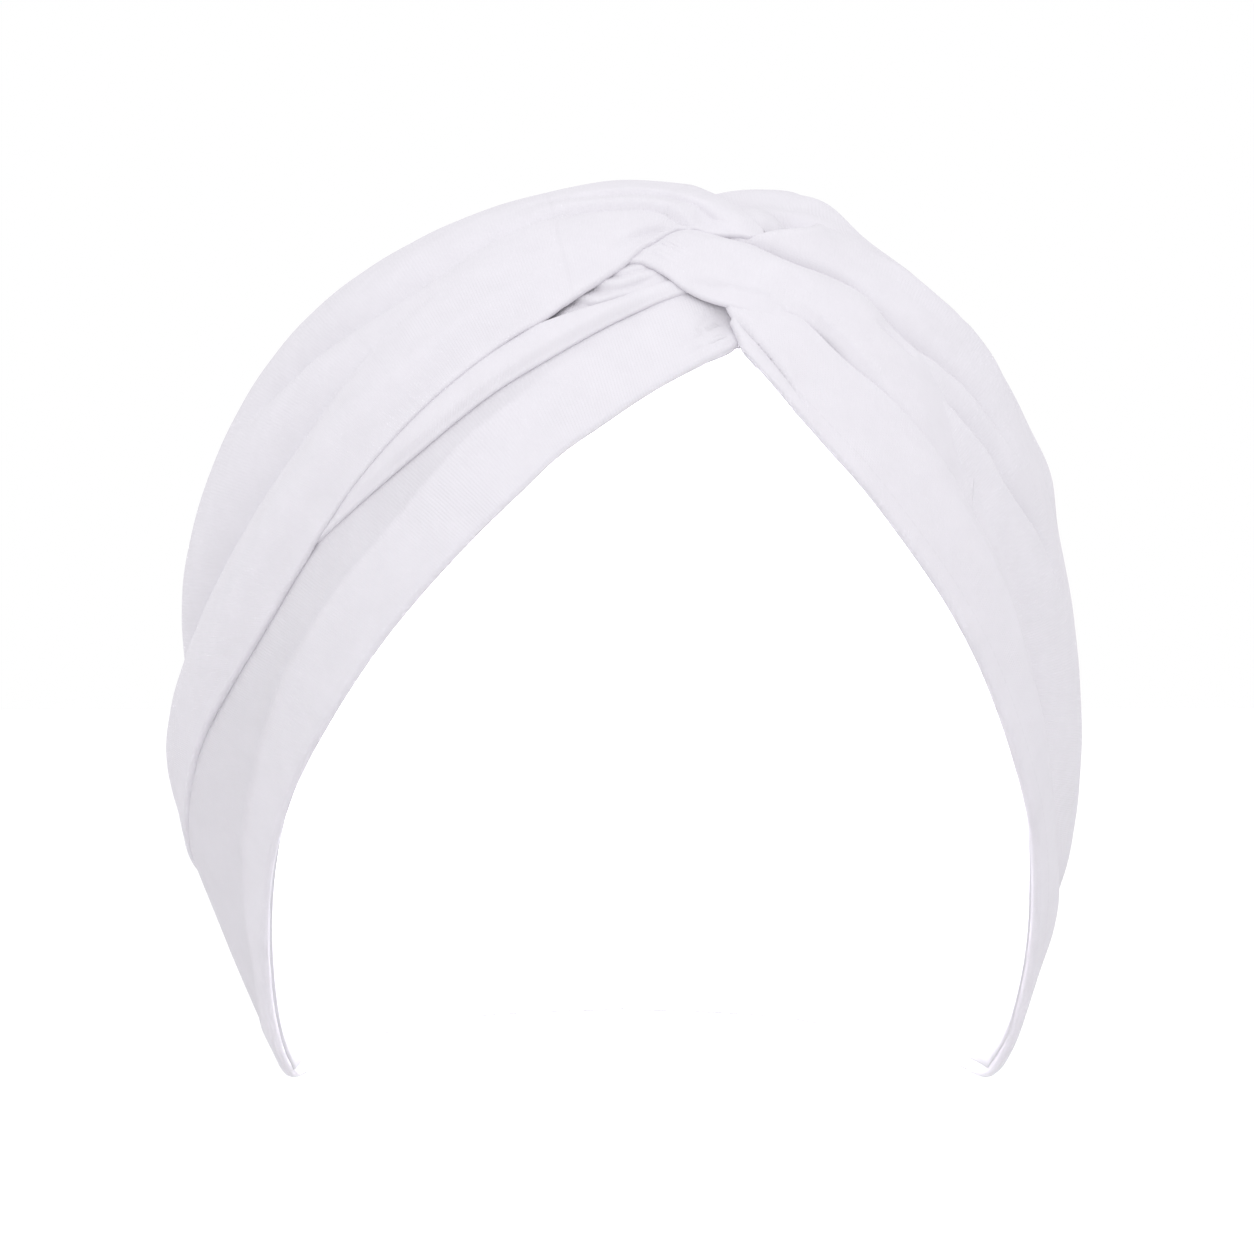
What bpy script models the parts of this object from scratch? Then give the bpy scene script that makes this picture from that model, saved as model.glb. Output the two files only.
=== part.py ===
"""Twist-front turban of soft ribbed jersey: a fitted cap with draped cloths laid over it.

Tables are in millimetres and degrees; the meshes are made in metres, +Z up. The face
opening looks along -Y, and +X is the wearer's left. The origin is the highest point of
the hollow, on the inner side of the crown.

A place on the turban is a bearing, turned from the brow towards +X, and a rise, both
seen from the middle of the hollow. A cloth lies at a lift above the hollow, measured
square to it. Each draped cloth is a sheet spread between two edges, a row of its table
for each section, with creases laid along it, and it gets its wall from Solidify.
"""

from collections import namedtuple

import bmesh
import bpy
import numpy as np

MM = 0.001

# The hollow
HOLLOW_TOP = 90.0
HOLLOW_BOTTOM = 142.0
HOLLOW_NAPE = 112.0
HOLLOW_FRONT = 93.0
HOLLOW_BACK = 99.0
HALF_WIDTH_FRONT = 74.5
HALF_WIDTH_BACK = 78.0
WIDENS_FROM = -35.0
WIDENS_TO = 20.0
ROUNDNESS = 2.4
MIDDLE = np.array([0.0, 0.0, -HOLLOW_TOP])

# Walls, and the least lift of a cloth over the cap and over a band
CAP_WALL = 1.3
BAND_WALL = 1.4
DRAPE_WALL = 1.6
OVER_CAP = 1.7
OVER_BAND = 3.6

# The cap's rim stays this far inside the bands' lower edges
CAP_INSET = 2.0
CAP_BEARINGS = 52
CAP_RINGS = 9

# Steps in the working out of curves
HALVINGS = 36
SLOPE_STEP = 0.5
CREASE_STEPS = 6

JERSEY = (0.84, 0.82, 0.87, 1.0)
JERSEY_SHADE = (0.80, 0.78, 0.84, 1.0)

# The lower and upper edge of a cloth at one section, and the lifts from one to the other
Section = namedtuple(
    "Section",
    "low_bearing low_rise high_bearing high_rise low_lift belly_lift upper_lift high_lift",
)
Crease = namedtuple("Crease", "path right_lift right_width left_lift left_width")
Swell = namedtuple("Swell", "bearing rise reach height")

# The steps are those of the mesh between two sections, and between two lifts of a section
Cloth = namedtuple("Cloth", "name sections steps cross_steps creases swells least_lift wall")

RIM = (
    # bearing, rise of the lower edge all the way round
    (-180.0, -37.5),
    (-168.0, -37.7),
    (-156.0, -38.4),
    (-141.0, -41.0),
    (-125.0, -44.8),
    (-108.0, -47.7),
    (-98.0, -44.5),
    (-86.0, -36.0),
    (-73.0, -25.5),
    (-60.0, -15.3),
    (-47.9, -5.2),
    (-36.5, 5.9),
    (-28.0, 13.9),
    (-20.0, 21.5),
    (-14.5, 26.6),
    (-9.2, 30.3),
    (-2.3, 34.1),
    (3.5, 37.0),
    (9.2, 39.7),
    (13.0, 34.0),
    (15.9, 30.2),
    (18.8, 26.5),
    (21.9, 23.1),
    (27.6, 16.3),
    (33.6, 9.5),
    (39.7, 2.4),
    (45.8, -5.1),
    (53.2, -13.2),
    (63.2, -21.7),
    (72.0, -30.0),
    (84.0, -38.0),
    (97.0, -45.0),
    (108.0, -47.7),
    (125.0, -44.8),
    (141.0, -41.0),
    (156.0, -38.4),
    (168.0, -37.7),
    (180.0, -37.5),
)

LEFT_BROW_BAND = (
    Section(13.0, 42.0, 12.0, 48.0, 1.7, 1.7, 1.7, 1.7),
    Section(9.2, 39.7, 6.0, 50.0, 1.7, 1.7, 1.7, 1.7),
    Section(3.5, 37.0, 0.0, 49.5, 1.7, 1.7, 1.7, 1.7),
    Section(-2.3, 34.1, -7.0, 47.0, 1.7, 1.7, 1.7, 1.7),
    Section(-9.2, 30.3, -15.0, 43.0, 1.7, 1.7, 1.7, 1.7),
    Section(-14.5, 26.6, -24.0, 38.0, 1.7, 1.7, 1.7, 1.7),
    Section(-20.0, 21.5, -33.0, 31.0, 1.7, 1.7, 1.7, 1.7),
    Section(-28.0, 13.9, -44.0, 23.0, 1.8, 1.8, 1.9, 1.9),
    Section(-36.5, 5.9, -55.0, 14.0, 1.7, 2.2, 2.6, 2.6),
    Section(-47.9, -5.2, -70.0, 2.0, 1.7, 2.6, 3.4, 3.4),
    Section(-60.0, -15.3, -85.0, -7.0, 1.7, 3.6, 5.0, 5.0),
    Section(-73.0, -25.5, -100.0, -14.0, 1.7, 5.0, 7.2, 7.0),
    Section(-86.0, -36.0, -116.0, -19.0, 1.7, 5.6, 6.8, 5.6),
    Section(-98.0, -44.5, -129.0, -21.0, 1.8, 4.4, 4.6, 3.2),
    Section(-108.0, -47.7, -139.0, -22.5, 2.1, 3.0, 3.0, 2.3),
    Section(-125.0, -44.8, -149.0, -23.5, 2.3, 2.3, 2.3, 2.1),
    Section(-141.0, -41.0, -158.0, -24.5, 2.2, 2.2, 2.2, 2.1),
    Section(-156.0, -38.4, -167.0, -25.0, 1.9, 2.0, 2.1, 2.1),
    Section(-168.0, -37.7, -173.0, -25.3, 1.9, 2.0, 2.1, 2.1),
    Section(-179.8, -37.5, -179.8, -25.5, 1.9, 2.0, 2.1, 2.1),
)

RIGHT_BROW_BAND = (
    Section(8.0, 40.3, 7.0, 46.5, 3.6, 3.6, 3.6, 3.6),
    Section(10.5, 37.2, 11.0, 47.0, 3.6, 3.6, 3.6, 3.6),
    Section(13.0, 34.0, 15.5, 47.0, 2.8, 3.4, 3.5, 3.5),
    Section(15.9, 30.2, 20.0, 45.0, 1.8, 2.4, 2.8, 2.8),
    Section(18.8, 26.5, 24.8, 39.4, 1.7, 1.8, 2.0, 2.0),
    Section(21.9, 23.1, 27.5, 35.2, 1.7, 1.7, 1.9, 1.9),
    Section(27.6, 16.3, 33.6, 28.0, 1.7, 1.7, 2.2, 2.4),
    Section(33.6, 9.5, 39.4, 19.4, 1.7, 1.8, 2.4, 2.6),
    Section(39.7, 2.4, 45.8, 11.0, 1.7, 1.8, 2.4, 2.6),
    Section(45.8, -5.1, 50.9, 3.0, 1.7, 1.8, 2.4, 2.6),
    Section(53.2, -13.2, 57.0, -4.2, 1.7, 2.2, 2.8, 2.8),
    Section(63.2, -21.7, 64.6, -13.4, 1.7, 2.6, 3.2, 3.0),
    Section(72.0, -30.0, 75.7, -22.9, 1.7, 3.0, 3.4, 3.0),
    Section(84.0, -38.0, 89.6, -28.5, 1.7, 3.0, 3.4, 3.0),
    Section(97.0, -45.0, 102.0, -31.4, 1.8, 2.6, 2.8, 2.6),
    Section(108.0, -47.7, 114.0, -32.8, 1.8, 1.9, 2.1, 2.1),
    Section(125.0, -44.8, 129.0, -33.0, 1.9, 1.9, 2.0, 2.0),
    Section(141.0, -41.0, 143.0, -32.5, 1.9, 1.9, 2.0, 2.0),
    Section(156.0, -38.4, 157.0, -32.2, 1.9, 1.9, 2.0, 2.0),
    Section(168.0, -37.7, 168.5, -32.1, 1.9, 1.9, 2.0, 2.0),
    Section(179.8, -37.5, 179.8, -32.1, 1.9, 1.9, 2.0, 2.0),
)

LEFT_PLEAT = (
    Section(5.0, 46.6, 6.5, 51.5, 3.6, 3.6, 3.6, 3.6),
    Section(-2.0, 44.9, -1.5, 51.0, 3.6, 3.6, 3.6, 3.6),
    Section(-8.0, 42.9, -9.0, 49.0, 3.6, 3.6, 3.6, 3.6),
    Section(-15.3, 38.8, -15.5, 44.5, 3.6, 3.6, 3.6, 3.6),
    Section(-23.4, 34.1, -23.0, 40.5, 3.6, 3.7, 3.7, 3.6),
    Section(-32.5, 27.5, -31.5, 34.0, 3.6, 3.7, 3.7, 3.6),
    Section(-43.9, 20.9, -41.5, 25.5, 3.6, 3.7, 3.7, 3.6),
    Section(-54.0, 15.6, -52.5, 18.5, 3.7, 3.8, 3.8, 3.8),
)

LEFT_DRAPE = (
    Section(18.5, 55.8, 19.4, 57.4, 5.6, 5.6, 5.6, 5.6),
    Section(11.7, 55.6, 17.8, 60.5, 7.8, 7.2, 6.4, 5.8),
    Section(6.0, 56.8, 17.4, 66.0, 7.9, 7.6, 7.0, 6.0),
    Section(1.0, 55.6, 20.0, 71.5, 7.8, 8.0, 7.2, 6.0),
    Section(-4.0, 51.5, 38.0, 80.0, 7.8, 7.8, 6.8, 4.8),
    Section(-9.5, 47.0, -130.0, 85.0, 7.2, 7.2, 6.2, 2.6),
    Section(-16.0, 41.6, -126.0, 73.0, 6.0, 7.0, 6.0, 2.0),
    Section(-26.0, 35.5, -122.0, 58.0, 6.0, 8.2, 7.2, 2.0),
    Section(-35.0, 28.2, -122.0, 41.0, 6.0, 10.0, 10.6, 2.0),
    Section(-44.0, 20.0, -122.0, 24.0, 6.4, 12.0, 12.4, 2.0),
    Section(-57.0, 5.5, -124.0, 3.5, 9.4, 14.6, 13.0, 2.0),
    Section(-75.0, -8.5, -132.0, -12.0, 13.2, 15.6, 11.0, 2.0),
    Section(-93.0, -20.5, -144.0, -18.5, 12.8, 11.0, 6.6, 2.0),
    Section(-112.0, -26.5, -156.0, -20.5, 9.0, 7.6, 4.6, 3.6),
    Section(-132.0, -29.5, -166.0, -21.5, 5.4, 4.8, 4.0, 3.9),
    Section(-150.0, -31.0, -173.0, -22.2, 4.2, 4.2, 4.0, 3.9),
    Section(-165.0, -31.6, -177.0, -22.4, 4.1, 4.1, 4.0, 3.9),
    Section(-179.8, -31.8, -179.8, -22.5, 4.1, 4.1, 4.0, 3.9),
)

RIGHT_DRAPE = (
    Section(-7.0, 51.0, 0.0, 58.5, 5.4, 5.2, 4.2, 2.6),
    Section(-3.0, 48.8, 4.0, 61.0, 5.4, 5.4, 3.6, 2.0),
    Section(1.0, 47.6, 7.5, 64.5, 5.4, 5.4, 2.6, 1.9),
    Section(4.3, 46.1, 12.0, 69.5, 5.4, 5.4, 2.2, 1.9),
    Section(8.0, 44.3, 22.0, 76.0, 5.4, 5.2, 1.9, 1.9),
    Section(13.5, 44.6, 60.0, 80.0, 5.4, 4.6, 1.9, 1.9),
    Section(19.5, 43.4, 92.0, 74.0, 4.9, 4.4, 2.6, 1.9),
    Section(25.0, 38.4, 108.0, 64.0, 3.9, 4.4, 2.8, 1.9),
    Section(31.0, 32.0, 115.0, 54.0, 1.9, 4.4, 2.8, 1.9),
    Section(37.5, 23.0, 119.0, 41.0, 1.8, 4.2, 3.2, 1.9),
    Section(45.0, 13.6, 121.5, 24.0, 1.8, 4.4, 4.0, 1.9),
    Section(51.4, 3.8, 124.0, 6.0, 1.8, 5.4, 6.0, 1.9),
    Section(57.5, -4.0, 129.0, -6.0, 1.8, 6.4, 6.4, 1.9),
    Section(65.0, -13.0, 136.0, -12.5, 1.8, 6.4, 5.4, 1.9),
    Section(76.0, -22.4, 144.0, -17.0, 2.2, 5.8, 4.2, 1.9),
    Section(90.0, -28.0, 153.0, -19.5, 2.4, 4.2, 3.2, 1.9),
    Section(106.0, -31.3, 161.0, -21.0, 1.8, 2.4, 2.2, 1.9),
    Section(122.0, -32.4, 168.0, -21.8, 1.9, 2.1, 2.0, 1.9),
    Section(140.0, -31.9, 173.0, -22.2, 1.9, 2.1, 2.0, 1.9),
    Section(160.0, -31.5, 177.0, -22.4, 1.9, 2.1, 2.0, 1.9),
    Section(179.8, -31.5, 179.8, -22.5, 1.9, 2.1, 2.0, 1.9),
)

LEFT_CREASES = (
    Crease(
        ((-28, 54), (-38, 49), (-49, 41), (-57, 31), (-65, 23), (-74, 14), (-90, 2), (-108, -10)),
        -5.0, 5.0, -5.0, 6.0,
    ),
    Crease(
        ((-22, 61), (-36, 57), (-47, 48), (-60, 43), (-76, 36), (-90, 27)),
        -4.2, 5.0, -4.2, 5.0,
    ),
    Crease(((8, 62), (-8, 66), (-34, 70), (-70, 66), (-100, 54)), -1.4, 4.0, -1.4, 4.0),
)

RIGHT_CREASES = (
    Crease(
        ((10, 56), (18, 54.3), (24, 52.5), (35.5, 48.3), (44, 41), (54, 30), (66, 16)),
        1.2, 7.0, -3.4, 7.0,
    ),
    Crease(
        ((40, 38), (48, 30), (57, 20), (66, 10), (78, -2), (92, -12)),
        -2.6, 6.0, -2.6, 6.0,
    ),
    Crease(
        ((66, 40), (80, 26), (90, 12), (100, -2)),
        -1.8, 6.0, -1.8, 6.0,
    ),
)

# The dent behind the twist, and the cloth that bulges round it
POCKET = (
    Swell(34.0, 64.0, 7.0, -1.0),
    Swell(62.0, 74.0, 9.0, 3.6),
    Swell(42.0, 75.0, 7.0, 1.8),
    Swell(58.0, 63.0, 9.0, 3.0),
)

CLOTHS = (
    Cloth("left_brow_band", LEFT_BROW_BAND, 2, 1, (), (), OVER_CAP, BAND_WALL),
    Cloth("right_brow_band", RIGHT_BROW_BAND, 2, 1, (), (), OVER_CAP, BAND_WALL),
    Cloth("left_pleat", LEFT_PLEAT, 3, 1, (), (), OVER_BAND, BAND_WALL),
    Cloth("left_drape", LEFT_DRAPE, 2, 10, LEFT_CREASES, (), OVER_CAP, DRAPE_WALL),
    Cloth("right_drape", RIGHT_DRAPE, 2, 8, RIGHT_CREASES, POCKET, OVER_CAP, DRAPE_WALL),
)


def direction(bearing, rise):
    """Unit vectors for bearings and rises in degrees."""
    bearing = np.radians(np.asarray(bearing, float))
    rise = np.radians(np.asarray(rise, float))
    level = np.cos(rise)
    return np.stack([level * np.sin(bearing), -level * np.cos(bearing), np.sin(rise)], -1)


def hollow_measure(offset):
    """Below 1 inside the hollow and above 1 outside it, for offsets from its middle."""
    x, y, z = np.abs(offset[..., 0]), offset[..., 1], offset[..., 2]
    part = np.clip((y - WIDENS_FROM) / (WIDENS_TO - WIDENS_FROM), 0, 1)
    half_width = HALF_WIDTH_FRONT + (HALF_WIDTH_BACK - HALF_WIDTH_FRONT) * part**2 * (3 - 2 * part)
    depth = np.where(y > 0, HOLLOW_BACK, HOLLOW_FRONT)
    nape = np.clip(y / HOLLOW_BACK, 0, 1) ** 2
    height = np.where(z > 0, HOLLOW_TOP, HOLLOW_BOTTOM + (HOLLOW_NAPE - HOLLOW_BOTTOM) * nape)
    return (
        (x / half_width) ** ROUNDNESS
        + (np.abs(y) / depth) ** ROUNDNESS
        + (np.abs(z) / height) ** ROUNDNESS
    )


def hollow_surface(directions):
    """Offsets from the middle to the hollow's wall, found by halving."""
    near = np.full(directions.shape[:-1], 0.3 * HOLLOW_TOP)
    far = np.full(directions.shape[:-1], 2.0 * HOLLOW_TOP)
    for _ in range(HALVINGS):
        middle = (near + far) / 2
        inside = hollow_measure(directions * middle[..., None]) < 1
        near = np.where(inside, middle, near)
        far = np.where(inside, far, middle)
    return directions * near[..., None]


def hollow_normal(offset):
    """Unit normals of the hollow, from differences of its measure."""
    slopes = [
        hollow_measure(offset + SLOPE_STEP * axis) - hollow_measure(offset - SLOPE_STEP * axis)
        for axis in np.eye(3)
    ]
    slope = np.stack(slopes, -1)
    return slope / np.linalg.norm(slope, axis=-1, keepdims=True)


def lifted(directions, lift):
    """Points at a lift above the hollow, in metres."""
    offset = hollow_surface(directions)
    return (MIDDLE + offset + hollow_normal(offset) * lift[..., None]) * MM


def smooth_rows(rows, steps):
    """Values between the rows of a table, on a curve through every row."""
    padded = np.concatenate([2 * rows[:1] - rows[1:2], rows, 2 * rows[-1:] - rows[-2:-1]])
    found = []
    for before, start, end, after in zip(padded, padded[1:], padded[2:], padded[3:]):
        for share in np.arange(steps) / steps:
            bend = 2 * before - 5 * start + 4 * end - after
            twist = -before + 3 * start - 3 * end + after
            found.append(
                start + 0.5 * share * (end - before + share * (bend + share * twist))
            )
    found.append(rows[-1])
    return np.array(found)


def spread(sections, steps, cross_steps):
    """Directions and lifts of a grid over a cloth, along it and across it."""
    table = np.array(sections, float)
    low = smooth_rows(direction(table[:, 0], table[:, 1]), steps)
    high = smooth_rows(direction(table[:, 2], table[:, 3]), steps)
    low /= np.linalg.norm(low, axis=1, keepdims=True)
    high /= np.linalg.norm(high, axis=1, keepdims=True)
    lifts = smooth_rows(smooth_rows(table[:, 4:], steps).T, cross_steps).T
    share = np.arange(lifts.shape[1]) / (lifts.shape[1] - 1)
    angle = np.arccos(np.clip((low * high).sum(1), -1, 1))[:, None]
    from_low = np.sin((1 - share) * angle) / np.sin(angle)
    from_high = np.sin(share * angle) / np.sin(angle)
    return from_low[..., None] * low[:, None] + from_high[..., None] * high[:, None], lifts


def crease_lift(crease, places, normals):
    """How a crease changes the lift on its right and on its left, fading at its ends."""
    stops = np.array(crease.path, float)
    line = smooth_rows(hollow_surface(direction(stops[:, 0], stops[:, 1])), CREASE_STEPS)
    best = np.full(places.shape[:-1], np.inf)
    side = np.zeros(places.shape[:-1])
    along = np.zeros(places.shape[:-1])
    count = len(line) - 1
    for index, (start, end) in enumerate(zip(line, line[1:])):
        run = end - start
        share = np.clip((places - start) @ run / (run @ run), 0, 1)
        gap = places - (start + share[..., None] * run)
        reach = np.linalg.norm(gap, axis=-1)
        nearer = reach < best
        best = np.where(nearer, reach, best)
        side = np.where(nearer, np.sign((np.cross(normals, run) * gap).sum(-1)), side)
        along = np.where(nearer, (index + share) / count, along)
    strength = np.clip(4 * along * (1 - along), 0, 1) ** 0.5
    right = crease.right_lift * np.exp(-((best / crease.right_width) ** 2))
    left = crease.left_lift * np.exp(-((best / crease.left_width) ** 2))
    return strength * np.where(side < 0, right, left)


def swell_lift(swell, places):
    """The rise or dent of a swell, round its centre."""
    centre = hollow_surface(direction(swell.bearing, swell.rise))
    reach = np.linalg.norm(places - centre, axis=-1)
    return swell.height * np.exp(-((reach / swell.reach) ** 2))


def sheet_mesh(name, points):
    """A grid of quads through the given points, its faces turned outwards."""
    along, across = points.shape[:2]
    shape = bmesh.new()
    bmesh.ops.create_grid(shape, x_segments=along - 1, y_segments=across - 1, size=1)
    for vertex in shape.verts:
        row = round((vertex.co.x + 1) / 2 * (along - 1))
        column = round((vertex.co.y + 1) / 2 * (across - 1))
        vertex.co = points[row, column]
    shape.normal_update()
    face = max(shape.faces, key=lambda f: f.calc_area())
    outward = np.array(face.calc_center_median()) - MIDDLE * MM
    if np.dot(np.array(face.normal), outward) < 0:
        bmesh.ops.reverse_faces(shape, faces=shape.faces)
    mesh = bpy.data.meshes.new(name)
    shape.to_mesh(mesh)
    shape.free()
    return mesh


def jersey(name, colour):
    """A soft matte cloth of one colour."""
    material = bpy.data.materials.new(name)
    material.use_nodes = True
    shader = material.node_tree.nodes["Principled BSDF"]
    shader.inputs["Base Color"].default_value = colour
    shader.inputs["Roughness"].default_value = 0.9
    shader.inputs["Metallic"].default_value = 0.0
    return material


def add_cloth(collection, name, mesh, wall, colour):
    """An object in the collection whose wall grows outwards from its inner face."""
    mesh.materials.append(jersey(name, colour))
    mesh.shade_smooth()
    cloth = bpy.data.objects.new(name, mesh)
    collection.objects.link(cloth)
    thickness = cloth.modifiers.new("wall", "SOLIDIFY")
    thickness.thickness = wall * MM
    thickness.offset = 1.0
    return cloth


def cloth_mesh(cloth):
    """The inner face of a cloth, creased and swollen but no closer to what is under it."""
    directions, lifts = spread(cloth.sections, cloth.steps, cloth.cross_steps)
    places = hollow_surface(directions)
    normals = hollow_normal(places)
    for crease in cloth.creases:
        lifts = lifts + crease_lift(crease, places, normals)
    for swell in cloth.swells:
        lifts = lifts + swell_lift(swell, places)
    return sheet_mesh(cloth.name, lifted(directions, np.maximum(lifts, cloth.least_lift)))


def cap_mesh(name):
    """The inner face of the cap: a half ball whose rim is drawn down to the lower edge."""
    table = np.array(RIM)
    shape = bmesh.new()
    bmesh.ops.create_uvsphere(
        shape, u_segments=CAP_BEARINGS, v_segments=2 * CAP_RINGS, radius=1
    )
    below = [vertex for vertex in shape.verts if vertex.co.z < -0.01]
    bmesh.ops.delete(shape, geom=below, context="VERTS")
    ball = np.array([vertex.co for vertex in shape.verts])
    bearing = np.degrees(np.arctan2(ball[:, 0], -ball[:, 1]))
    share = np.degrees(np.arcsin(np.clip(ball[:, 2], 0, 1))) / 90
    rim_rise = np.interp(bearing, table[:, 0], table[:, 1]) + CAP_INSET
    points = lifted(direction(bearing, rim_rise + (90 - rim_rise) * share), np.zeros(len(ball)))
    for vertex, point in zip(shape.verts, points):
        vertex.co = point
    mesh = bpy.data.meshes.new(name)
    shape.to_mesh(mesh)
    shape.free()
    return mesh


def build():
    """The turban's pieces, in a collection of their own."""
    for thing in list(bpy.data.objects):
        bpy.data.objects.remove(thing, do_unlink=True)
    turban = bpy.data.collections.new("turban")
    bpy.context.scene.collection.children.link(turban)
    add_cloth(turban, "crown_cap", cap_mesh("crown_cap"), CAP_WALL, JERSEY_SHADE)
    for cloth in CLOTHS:
        add_cloth(turban, cloth.name, cloth_mesh(cloth), cloth.wall, JERSEY)


build()
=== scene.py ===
"""Twist-front turban of soft ribbed jersey, dressed over its solids.

Tables are in millimetres and degrees, meshes in metres, +Z up. A place on the turban is a
bearing, turned from the brow towards +X, and a rise, both seen from the middle of the head
hollow. A cloth lies at a lift above the hollow. Each cloth is a fine sheet spread between
its two edges, pressed into its creases and gathers, with its free edges rolled under.
"""

from collections import namedtuple

import bpy
import numpy as np
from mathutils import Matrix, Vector
from mathutils.bvhtree import BVHTree


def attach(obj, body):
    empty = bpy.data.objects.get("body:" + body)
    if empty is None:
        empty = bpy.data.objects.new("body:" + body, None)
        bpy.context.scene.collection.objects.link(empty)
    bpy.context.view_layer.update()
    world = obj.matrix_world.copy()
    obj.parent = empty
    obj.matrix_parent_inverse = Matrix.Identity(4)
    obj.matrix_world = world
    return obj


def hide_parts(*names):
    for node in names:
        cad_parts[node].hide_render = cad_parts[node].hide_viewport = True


MM = 0.001

# The head hollow that every cloth lies over
HOLLOW_TOP = 90.0
HOLLOW_BOTTOM = 142.0
HOLLOW_NAPE = 112.0
HOLLOW_FRONT = 93.0
HOLLOW_BACK = 99.0
HALF_WIDTH_FRONT = 74.5
HALF_WIDTH_BACK = 78.0
WIDENS_FROM = -35.0
WIDENS_TO = 20.0
ROUNDNESS = 2.4
MIDDLE = np.array([0.0, 0.0, -HOLLOW_TOP])

# One ply of jersey, and the steps of a rolled edge and of the strip tucked beneath it
PLY = 0.8
ROLL_STEPS = 7
TUCK_COLUMNS = 5

# Rays are cast inwards from here
FAR_OUT = 170.0

# How finely the hollow's wall, its normals and the curves between table rows are found
HALVINGS = 34
SLOPE_STEP = 0.5
FINE_STEPS = 14

# Rows lie closer in front than behind: their share behind, and where the change is
BACK_SHARE = 0.45
FRONT_ENDS = 30.0
FRONT_FADES = 60.0

# How far a change of lift is evened out, in rows
EVEN_LIFTS = 4
EVEN_PRESS = 3

# The turn from one side of a fold to the other, and how roundly a lift dies out beside it
FOLD_TURN = 0.45
FOLD_ROUND = 1.6
GATHER_ROUND = 1.5

# How long a stretched cloth is let settle, in rounds
SHEET_SETTLES = 60
STRAND_SETTLES = 300

# Painted shade: the left band's panel beyond its hem line is darkened by this share, standing in
# for the shade under the left drape
PAINTED_PANEL_SHADE = 0.07
HEM_TURN = 0.7
HEM_COMES_IN = 9

# The lower and upper edge of a cloth at one section, and the lifts from one to the other
Section = namedtuple(
    "Section",
    "low_bearing low_rise high_bearing high_rise low_lift belly_lift upper_lift high_lift",
)

# A fold line: the lift it gives on its right and on its left, how far that reaches, and a
# groove along it. Fades are the shares of its length over which it comes and goes.
Fold = namedtuple(
    "Fold",
    "path right_lift right_reach left_lift left_reach groove groove_width fade_in fade_out",
)

# Ribs that run away from a line and die out
Gather = namedtuple("Gather", "path reach pitch height slant fade_in fade_out side")

# A round rise or dent
Swell = namedtuple("Swell", "bearing rise reach height")

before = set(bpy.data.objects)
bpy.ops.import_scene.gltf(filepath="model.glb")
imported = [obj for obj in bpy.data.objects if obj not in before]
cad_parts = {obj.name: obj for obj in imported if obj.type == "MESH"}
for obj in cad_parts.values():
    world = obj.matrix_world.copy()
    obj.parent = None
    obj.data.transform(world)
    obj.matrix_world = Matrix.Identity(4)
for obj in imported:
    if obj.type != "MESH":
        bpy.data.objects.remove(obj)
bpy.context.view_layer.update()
bpy.ops.object.select_all(action="DESELECT")


def direction(bearing, rise):
    """Unit vectors for bearings and rises in degrees."""
    bearing = np.radians(np.asarray(bearing, float))
    rise = np.radians(np.asarray(rise, float))
    level = np.cos(rise)
    return np.stack([level * np.sin(bearing), -level * np.cos(bearing), np.sin(rise)], -1)


def hollow_measure(offset):
    """Below 1 inside the hollow and above 1 outside it, for offsets from its middle."""
    x, y, z = np.abs(offset[..., 0]), offset[..., 1], offset[..., 2]
    part = np.clip((y - WIDENS_FROM) / (WIDENS_TO - WIDENS_FROM), 0, 1)
    half_width = HALF_WIDTH_FRONT + (HALF_WIDTH_BACK - HALF_WIDTH_FRONT) * part**2 * (3 - 2 * part)
    depth = np.where(y > 0, HOLLOW_BACK, HOLLOW_FRONT)
    nape = np.clip(y / HOLLOW_BACK, 0, 1) ** 2
    height = np.where(z > 0, HOLLOW_TOP, HOLLOW_BOTTOM + (HOLLOW_NAPE - HOLLOW_BOTTOM) * nape)
    return (
        (x / half_width) ** ROUNDNESS
        + (np.abs(y) / depth) ** ROUNDNESS
        + (np.abs(z) / height) ** ROUNDNESS
    )


def hollow_surface(directions):
    """Offsets from the middle to the hollow's wall, found by halving."""
    near = np.full(directions.shape[:-1], 0.3 * HOLLOW_TOP)
    far = np.full(directions.shape[:-1], 2.0 * HOLLOW_TOP)
    for _ in range(HALVINGS):
        middle = (near + far) / 2
        inside = hollow_measure(directions * middle[..., None]) < 1
        near = np.where(inside, middle, near)
        far = np.where(inside, far, middle)
    return directions * near[..., None]


def unit(vectors):
    length = np.linalg.norm(vectors, axis=-1, keepdims=True)
    return vectors / np.maximum(length, 1e-9)


def hollow_normal(offset):
    """Unit normals of the hollow, from differences of its measure."""
    slopes = [
        hollow_measure(offset + SLOPE_STEP * axis) - hollow_measure(offset - SLOPE_STEP * axis)
        for axis in np.eye(3)
    ]
    return unit(np.stack(slopes, -1))


def smooth_rows(rows, steps):
    """Values between the rows of a table, on a curve through every row."""
    padded = np.concatenate([2 * rows[:1] - rows[1:2], rows, 2 * rows[-1:] - rows[-2:-1]])
    found = []
    for before, start, end, after in zip(padded, padded[1:], padded[2:], padded[3:]):
        for share in np.arange(steps) / steps:
            bend = 2 * before - 5 * start + 4 * end - after
            twist = -before + 3 * start - 3 * end + after
            found.append(
                start + 0.5 * share * (end - before + share * (bend + share * twist))
            )
    found.append(rows[-1])
    return np.array(found)


def read_at(values, places, wanted):
    """Rows of values, known at rising places, read at the wanted places."""
    flat = values.reshape(len(values), -1)
    columns = [np.interp(wanted, places, column) for column in flat.T]
    return np.stack(columns, -1).reshape((len(wanted),) + values.shape[1:])


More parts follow.
